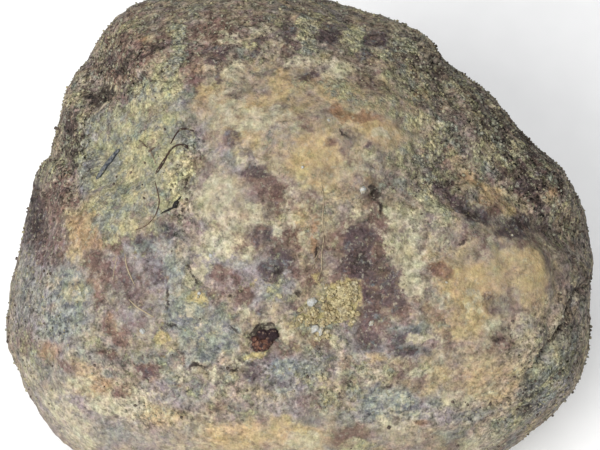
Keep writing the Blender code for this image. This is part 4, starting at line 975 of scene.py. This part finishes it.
class Shader:
    """A Principled material and short ways to add nodes to it."""

    def __init__(self, name):
        self.material = bpy.data.materials.new(name)
        self.material.use_nodes = True
        self.tree = self.material.node_tree
        self.principled = self.tree.nodes["Principled BSDF"]
        self.place = self.node("ShaderNodeTexCoord").outputs["Object"]

    def node(self, kind, inputs=None, **settings):
        made = self.tree.nodes.new(kind)
        for key, value in settings.items():
            setattr(made, key, value)
        for key, value in (inputs or {}).items():
            self.feed(made.inputs[key], value)
        return made

    def feed(self, socket, value):
        if isinstance(value, bpy.types.NodeSocket):
            self.tree.links.new(value, socket)
        elif isinstance(value, tuple) and len(value) == 3 and socket.type == "RGBA":
            socket.default_value = (*value, 1.0)
        else:
            socket.default_value = value

    def layer(self, name):
        return self.node("ShaderNodeAttribute", attribute_name=name).outputs["Fac"]

    def vector_maths(self, operation, inputs):
        return self.node("ShaderNodeVectorMath", inputs, operation=operation).outputs["Vector"]

    def noise_node(self, size_mm, detail, roughness, seed):
        """The place that a noise is read at, and its node."""
        shifted = self.vector_maths("ADD", {0: self.place, 1: (0.13 * seed, 0.07 * seed, 0.11 * seed)})
        inputs = {"Vector": shifted, "Scale": 1.0 / (size_mm * MM), "Detail": detail, "Roughness": roughness}
        return shifted, self.node("ShaderNodeTexNoise", inputs)

    def noise(self, size_mm, detail=2.0, roughness=0.5, seed=0):
        return self.noise_node(size_mm, detail, roughness, seed)[1].outputs["Fac"]

    def grains(self, size_mm, seed):
        """Uneven grains: how far each point is from the middle of its grain, and two chances of its own."""
        place, stirring = self.noise_node(size_mm, 2.0, 0.5, seed)
        reach = 0.9 * size_mm * MM
        stirred_place = {0: stirring.outputs["Color"], 1: (reach, reach, reach), 2: place}
        spot = self.vector_maths("MULTIPLY_ADD", stirred_place)
        cells = self.node("ShaderNodeTexVoronoi", {"Vector": spot, "Scale": 1.0 / (size_mm * MM)})
        chances = self.node("ShaderNodeSeparateColor", {"Color": cells.outputs["Color"]})
        return cells.outputs["Distance"], chances.outputs[0], chances.outputs[1]

    def tinted(self, colour, size_mm, seed, swing):
        """The colour, with its red, green and blue each drifting by itself."""
        drift = self.noise_node(size_mm, 5.0, 0.72, seed)[1].outputs["Color"]
        level = {0: drift, 1: swing, 2: tuple(1.0 - 0.5 * part for part in swing)}
        return self.vector_maths("MULTIPLY", {0: colour, 1: self.vector_maths("MULTIPLY_ADD", level)})

    def maths(self, operation, first, second=0.0, third=0.0):
        return self.node("ShaderNodeMath", {0: first, 1: second, 2: third}, operation=operation).outputs[0]

    def added(self, first, second):
        return self.maths("ADD", first, second)

    def share(self, value, part):
        return self.maths("MULTIPLY", value, part)

    def times_plus(self, value, factor, rest):
        return self.maths("MULTIPLY_ADD", value, factor, rest)

    def inverted(self, value):
        return self.maths("SUBTRACT", 1.0, value)

    def ramp(self, value, low, high, to_low=0.0, to_high=1.0):
        inputs = {"Value": value, "From Min": low, "From Max": high, "To Min": to_low, "To Max": to_high}
        return self.node("ShaderNodeMapRange", inputs, interpolation_type="SMOOTHSTEP").outputs["Result"]

    def mix(self, share, under, over):
        made = self.node("ShaderNodeMix", data_type="RGBA")
        for index, value in ((0, share), (6, under), (7, over)):
            self.feed(made.inputs[index], value)
        return made.outputs[2]

    def strewn(self, under, value, low, high, most, over):
        """The colour under, covered by the colour over where value nears high, and by no more than most."""
        return self.mix(self.share(self.ramp(value, low, high), most), under, over)

    def cover(self, name, ragged, swing, softness):
        """Where a painted layer covers the skin, as raggedly as swing says and with an edge as soft."""
        moved = self.times_plus(ragged, swing, -0.5 * swing)
        level = self.times_plus(moved, self.layer("ragged"), self.layer(name))
        return self.ramp(level, 0.5 - softness, 0.5 + softness)

    def coat(self, under, name, ragged, swing, softness, most, colour):
        """The colour under, with a painted layer of another colour that covers no more than most of it."""
        return self.mix(self.share(self.cover(name, ragged, swing, softness), most), under, colour)

    def scaled(self, colour, level):
        return self.vector_maths("SCALE", {0: colour, "Scale": level})

    def bump(self, height, distance_mm, strength, under=None):
        inputs = {"Height": height, "Distance": distance_mm * MM, "Strength": strength}
        if under is not None:
            inputs["Normal"] = under
        return self.node("ShaderNodeBump", inputs).outputs["Normal"]

    def toned(self, mottle, low, high, to_low, to_high):
        """The tone of each lump or strand, raised and lowered by a mottle."""
        return self.added(self.layer("tone"), self.ramp(mottle, low, high, to_low, to_high))

    def finish(self, colour, normal, roughness, shine=0.5, glow=0.0):
        """The finished material. If it glows, it glows white."""
        looks = {"Base Color": colour, "Roughness": roughness, "Specular IOR Level": shine}
        looks |= {"Emission Color": (1.0, 1.0, 1.0), "Emission Strength": glow}
        if normal is not None:
            looks["Normal"] = normal
        for key, value in looks.items():
            self.feed(self.principled.inputs[key], value)
        return self.material


def bare_skin(s, noises):
    """The skin under the dust: clouds of tan and pinkish, with the painted coats over them."""
    slate = s.mix(s.ramp(noises.speck, 0.42, 0.56), BLUE_SLATE, SLATE)
    plum = s.mix(s.ramp(noises.drift, 0.44, 0.56), BLUE_SLATE, MAROON)
    plum = s.mix(s.ramp(noises.speck, 0.46, 0.68), PLUM, plum)
    # Coats, the lowest first: the painted layer, the noise that frays it and how far, how soft its edge is,
    # how much of the skin it covers at most, and its colour.
    coats = (
        ("mauve", s.inverted(noises.drift), 1.8, 0.4, 0.9, MAUVE),
        ("ochre", noises.drift, 1.6, 0.4, 1.0, OCHRE),
        ("rust", noises.cloud, 1.6, 0.4, 1.0, RUST),
        ("maroon", s.inverted(noises.drift), 2.6, 0.32, 0.92, MAROON),
        ("slate", s.inverted(noises.cloud), 1.8, 0.35, 0.85, slate),
        ("cream", s.inverted(noises.crumble), 2.8, 0.2, 0.88, CREAM),
        ("plum", noises.blot, 3.0, 0.3, 0.92, plum),
        ("umber", noises.crumble, 2.8, 0.26, 0.92, UMBER),
    )
    skin = s.mix(s.ramp(noises.cloud, 0.40, 0.60), PINKISH, TAN)
    for coat in coats:
        skin = s.coat(skin, *coat)
    blots = s.ramp(noises.blot, 0.34, 0.66, -0.34, 0.28)
    return s.scaled(skin, s.times_plus(blots, s.layer("ragged"), 1.0))


def dust(s, noises, apart, chance):
    """Grey, olive and yellow dust, in grains with painted shade between them, crisper where the skin is
    rough.
    """
    colour = s.mix(s.ramp(noises.drift, 0.44, 0.54), GREY_DUST, OLIVE_DUST)
    colour = s.mix(s.ramp(noises.cloud, 0.48, 0.60), colour, YELLOW_DUST)
    # Each grain's own tone, and painted shade towards its edge, between the grains.
    grain = s.times_plus(chance, 0.35, s.ramp(apart, 0.75, 0.3))
    contrast = s.times_plus(s.layer("rough"), 0.9, 0.15)
    return s.scaled(colour, s.times_plus(s.ramp(grain, 0.1, 1.2, -0.42, 0.16), contrast, 1.0))


def mottled(s, noises, colour, chance):
    """The colour with pale flecks, drifting tints, and crisp light and dark where the skin is rough."""
    flecks = s.ramp(s.noise(FLECK, 2.0, 0.6, 9), 0.58, 0.66)
    flecks = s.share(flecks, s.times_plus(s.layer("rough"), 0.3, 0.35))
    colour = s.mix(flecks, colour, s.mix(0.5, CREAM, GREY_DUST))
    colour = s.tinted(colour, 1.3, 21, (0.42, 0.34, 0.6))
    crumb_chance = s.grains(CRUMB, 14)[1]
    crumbs = s.added(s.ramp(chance, 0.0, 1.0, -0.45, 0.4), s.ramp(crumb_chance, 0.0, 1.0, -0.4, 0.4))
    crisp = s.added(s.ramp(noises.fine, 0.30, 0.66, -0.55, 0.4), s.ramp(noises.grit, 0.36, 0.62, -0.5, 0.4))
    contrast = s.times_plus(s.layer("rough"), 0.62, 0.14)
    return s.scaled(colour, s.times_plus(s.added(crisp, crumbs), contrast, 1.0))


def crack_gaps(s, noises):
    """How open a crack is, 0 to 1, for its painted shade and groove: wavering, and broken up by grit."""
    wobble = s.times_plus(noises.speck, 0.9, -0.45)
    aside = s.maths("ABSOLUTE", s.added(s.layer("crack_aside"), wobble))
    gap = s.share(s.ramp(aside, 0.16, 0.05), s.layer("crack_open"))
    return s.share(gap, s.ramp(noises.grit, 0.38, 0.52))


def skin_material():
    """Bare skin in soft clouds of colour, soil dust in a film and grains over it, and painted shade in grain
    gaps and cracks.
    """
    s = Shader("truffle_skin")
    noises = SimpleNamespace(**{name: s.noise(*row) for name, row in SKIN_NOISES.items()})
    apart, chance, second_chance = s.grains(DUST_GRAIN, 13)
    film = s.cover("dust", noises.clump, 3.4, 0.2)
    gap = crack_gaps(s, noises)

    # The dust brings painted shade between its grains.
    colour = s.mix(s.share(film, 0.9), bare_skin(s, noises), dust(s, noises, apart, chance))
    colour = s.coat(colour, "gold", noises.blot, 2.6, 0.25, 0.85, GOLD)
    colour = mottled(s, noises, colour, second_chance)
    # Painted shade in the cracks.
    colour = s.mix(s.share(gap, 0.85), colour, UMBER)

    height = s.times_plus(s.ramp(apart, 0.75, 0.2), s.share(film, 0.8), s.share(noises.speck, 1.2))
    height = s.times_plus(film, 0.6, height)
    height = s.maths("SUBTRACT", s.added(height, s.share(noises.fine, 0.5)), s.share(gap, 1.2))
    bumps = s.bump(height, 0.12, 0.8, s.bump(noises.drift, 0.3, 0.6))
    return s.finish(colour, bumps, s.ramp(film, 0.0, 1.0, 0.7, 0.95), 0.15)


def strand_material(name, dark, pale):
    """Dull fibres, darker and paler by their tone, with a little dust caught on them."""
    s = Shader(name)
    level = s.toned(s.noise(0.25, 3.0, 0.6, 31), 0.3, 0.7, -0.3, 0.3)
    colour = s.mix(s.ramp(level, 0.0, 1.0), dark, pale)
    colour = s.strewn(colour, s.noise(0.3, 3.0, 0.7, 32), 0.56, 0.64, 0.5, OLIVE_DUST)
    return s.finish(colour, s.bump(s.noise(0.12, 3.0, 0.6, 33), 0.05, 0.7), 0.7, 0.3)


def bark_material():
    """A dark blue-grey sliver with a paler, speckled middle between its darker edges."""
    s = Shader("bark")
    level = s.toned(s.noise(0.3, 4.0, 0.65, 34), 0.3, 0.7, -0.5, 0.5)
    colour = s.mix(s.ramp(level, 0.2, 1.1), BARK_EDGE, BARK_FLAT)
    colour = s.strewn(colour, s.noise(0.22, 3.0, 0.6, 35), 0.58, 0.66, 0.6, OLIVE_DUST)
    return s.finish(colour, s.bump(s.noise(0.16, 4.0, 0.6, 36), 0.06, 0.8), 0.75, 0.3)


def red_soil_material():
    """A reddish-brown clod, dark plum where its tone is low, with painted glints on its palest lumps and pale
    specks.
    """
    s = Shader("red_soil")
    level = s.toned(s.noise(0.4, 4.0, 0.7, 37), 0.36, 0.64, -0.6, 0.3)
    colour = s.mix(s.ramp(level, 0.1, 1.0), CLOD_DARK, CLOD_RED)
    # Painted glints on the lumps whose tone is above 1.
    colour = s.mix(s.ramp(level, 1.0, 1.4), colour, CLOD_PAINTED_GLINT)
    colour = s.strewn(colour, s.noise(0.2, 3.0, 0.6, 38), 0.58, 0.66, 0.6, CLOD_SPECK)
    return s.finish(colour, s.bump(s.noise(0.25, 4.0, 0.7, 39), 0.1, 0.9), 0.85, 0.2)


def quartz_material():
    """Pale, slightly glassy quartz, whiter or yellower by its tone."""
    s = Shader("sand")
    level = s.toned(s.noise(0.4, 3.0, 0.6, 40), 0.3, 0.7, -0.4, 0.4)
    colour = s.mix(s.ramp(level, 0.1, 1.0), QUARTZ_YELLOW, QUARTZ_WHITE)
    colour = s.strewn(colour, s.noise(0.3, 3.0, 0.6, 41), 0.56, 0.66, 0.5, GREY_DUST)
    return s.finish(colour, s.bump(s.noise(0.2, 2.0, 0.5, 42), 0.05, 0.5), 0.4, 0.5)


def finish_soil(s, colour):
    """Soil of a colour, unevenly light and dark, dull and finely rough."""
    colour = s.scaled(colour, s.ramp(s.noise(0.22, 3.0, 0.6, 44), 0.3, 0.7, 0.62, 1.3))
    return s.finish(colour, s.bump(s.noise(0.12, 3.0, 0.6, 45), 0.05, 0.7), 0.9, 0.15)


def crust_material():
    """Golden soil, browner in places, with some cream grains."""
    s = Shader("crust_soil")
    colour = s.mix(s.ramp(s.noise(0.5, 4.0, 0.7, 43), 0.38, 0.60), CRUST_BROWN, CRUST_GOLD)
    colour = s.strewn(colour, s.noise(0.7, 4.0, 0.7, 46), 0.5, 0.62, 0.7, CRUST_TAN)
    return finish_soil(s, s.mix(s.ramp(s.layer("tone"), 0.80, 1.0), colour, CREAM))


def loose_soil_material():
    """Grains of the colours of the dust around them, the low tones greyer or dark, a few high ones cream."""
    s = Shader("loose_soil")
    tone = s.layer("tone")
    colour = s.mix(s.ramp(s.noise(1.5, 6.0, 0.75, 5), 0.44, 0.54), GREY_DUST, OLIVE_DUST)
    colour = s.mix(s.ramp(s.noise(2.4, 6.0, 0.72, 4), 0.48, 0.60), colour, YELLOW_DUST)
    colour = s.mix(0.45, colour, TAN)
    colour = s.strewn(colour, tone, 0.60, 0.30, 0.7, GREY_DUST)
    colour = s.strewn(colour, tone, 0.32, 0.22, 0.85, s.mix(0.35, UMBER, MAROON))
    return finish_soil(s, s.mix(s.ramp(tone, 0.93, 0.97), colour, CREAM))


def floor_material():
    """A dull, pale grey that glows faintly."""
    s = Shader("floor")
    tone = s.mix(s.ramp(s.noise(3.0), 0.4, 0.6), FLOOR_DIM, FLOOR_BRIGHT)
    return s.finish(tone, None, 0.9, glow=FLOOR_GLOW)


def build_stage():
    """A wide, flat floor."""
    ways = ((-1, -1), (1, -1), (1, 1), (-1, 1))
    floor = mesh_of("floor", [(x * FLOOR_REACH, y * FLOOR_REACH, 0.0) for x, y in ways], [(0, 1, 2, 3)])
    floor.data.materials.append(floor_material())


def add_light(name, bearing, elevation, distance, width, power, colour):
    """A square soft light that faces the truffle."""
    data = bpy.data.lights.new(name, "AREA")
    data.shape = "SQUARE"
    data.size = width
    data.energy = power
    data.color = colour
    light = bpy.data.objects.new(name, data)
    around, above = math.radians(bearing), math.radians(elevation)
    out = Vector((math.sin(around) * math.cos(above), -math.cos(around) * math.cos(above), math.sin(above)))
    light.location = out * distance + LIGHT_AIM
    light.rotation_euler = out.to_track_quat("Z", "Y").to_euler()
    bpy.context.scene.collection.objects.link(light)


def build_lighting():
    for name, settings in LIGHTS.items():
        add_light(name, *settings)
    world = bpy.data.worlds.new("soft_surround")
    world.use_nodes = True
    background = world.node_tree.nodes["Background"]
    background.inputs["Color"].default_value = SURROUND
    background.inputs["Strength"].default_value = SURROUND_STRENGTH
    bpy.context.scene.world = world
    bpy.context.scene.view_settings.view_transform = "Standard"


def build_camera():
    data = bpy.data.cameras.new("camera")
    data.lens = CAMERA_LENS
    data.sensor_width = SENSOR_WIDTH
    camera = bpy.data.objects.new("camera", data)
    camera.location = Vector(to_row(np.array([(*CAMERA_AIM, CAMERA_REACH)]))[0])
    camera.rotation_euler = (CROWN_LEAN, 0.0, 0.0)
    bpy.context.scene.collection.objects.link(camera)
    bpy.context.scene.camera = camera


def main():
    skin, ground = build_skin()
    skin.data.materials.append(skin_material())
    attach(skin, "root")
    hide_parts("truffle")
    build_strands(ground)
    build_splinter(ground)
    build_lumps(ground)
    build_crust(ground)
    build_stage()
    build_lighting()
    build_camera()


main()
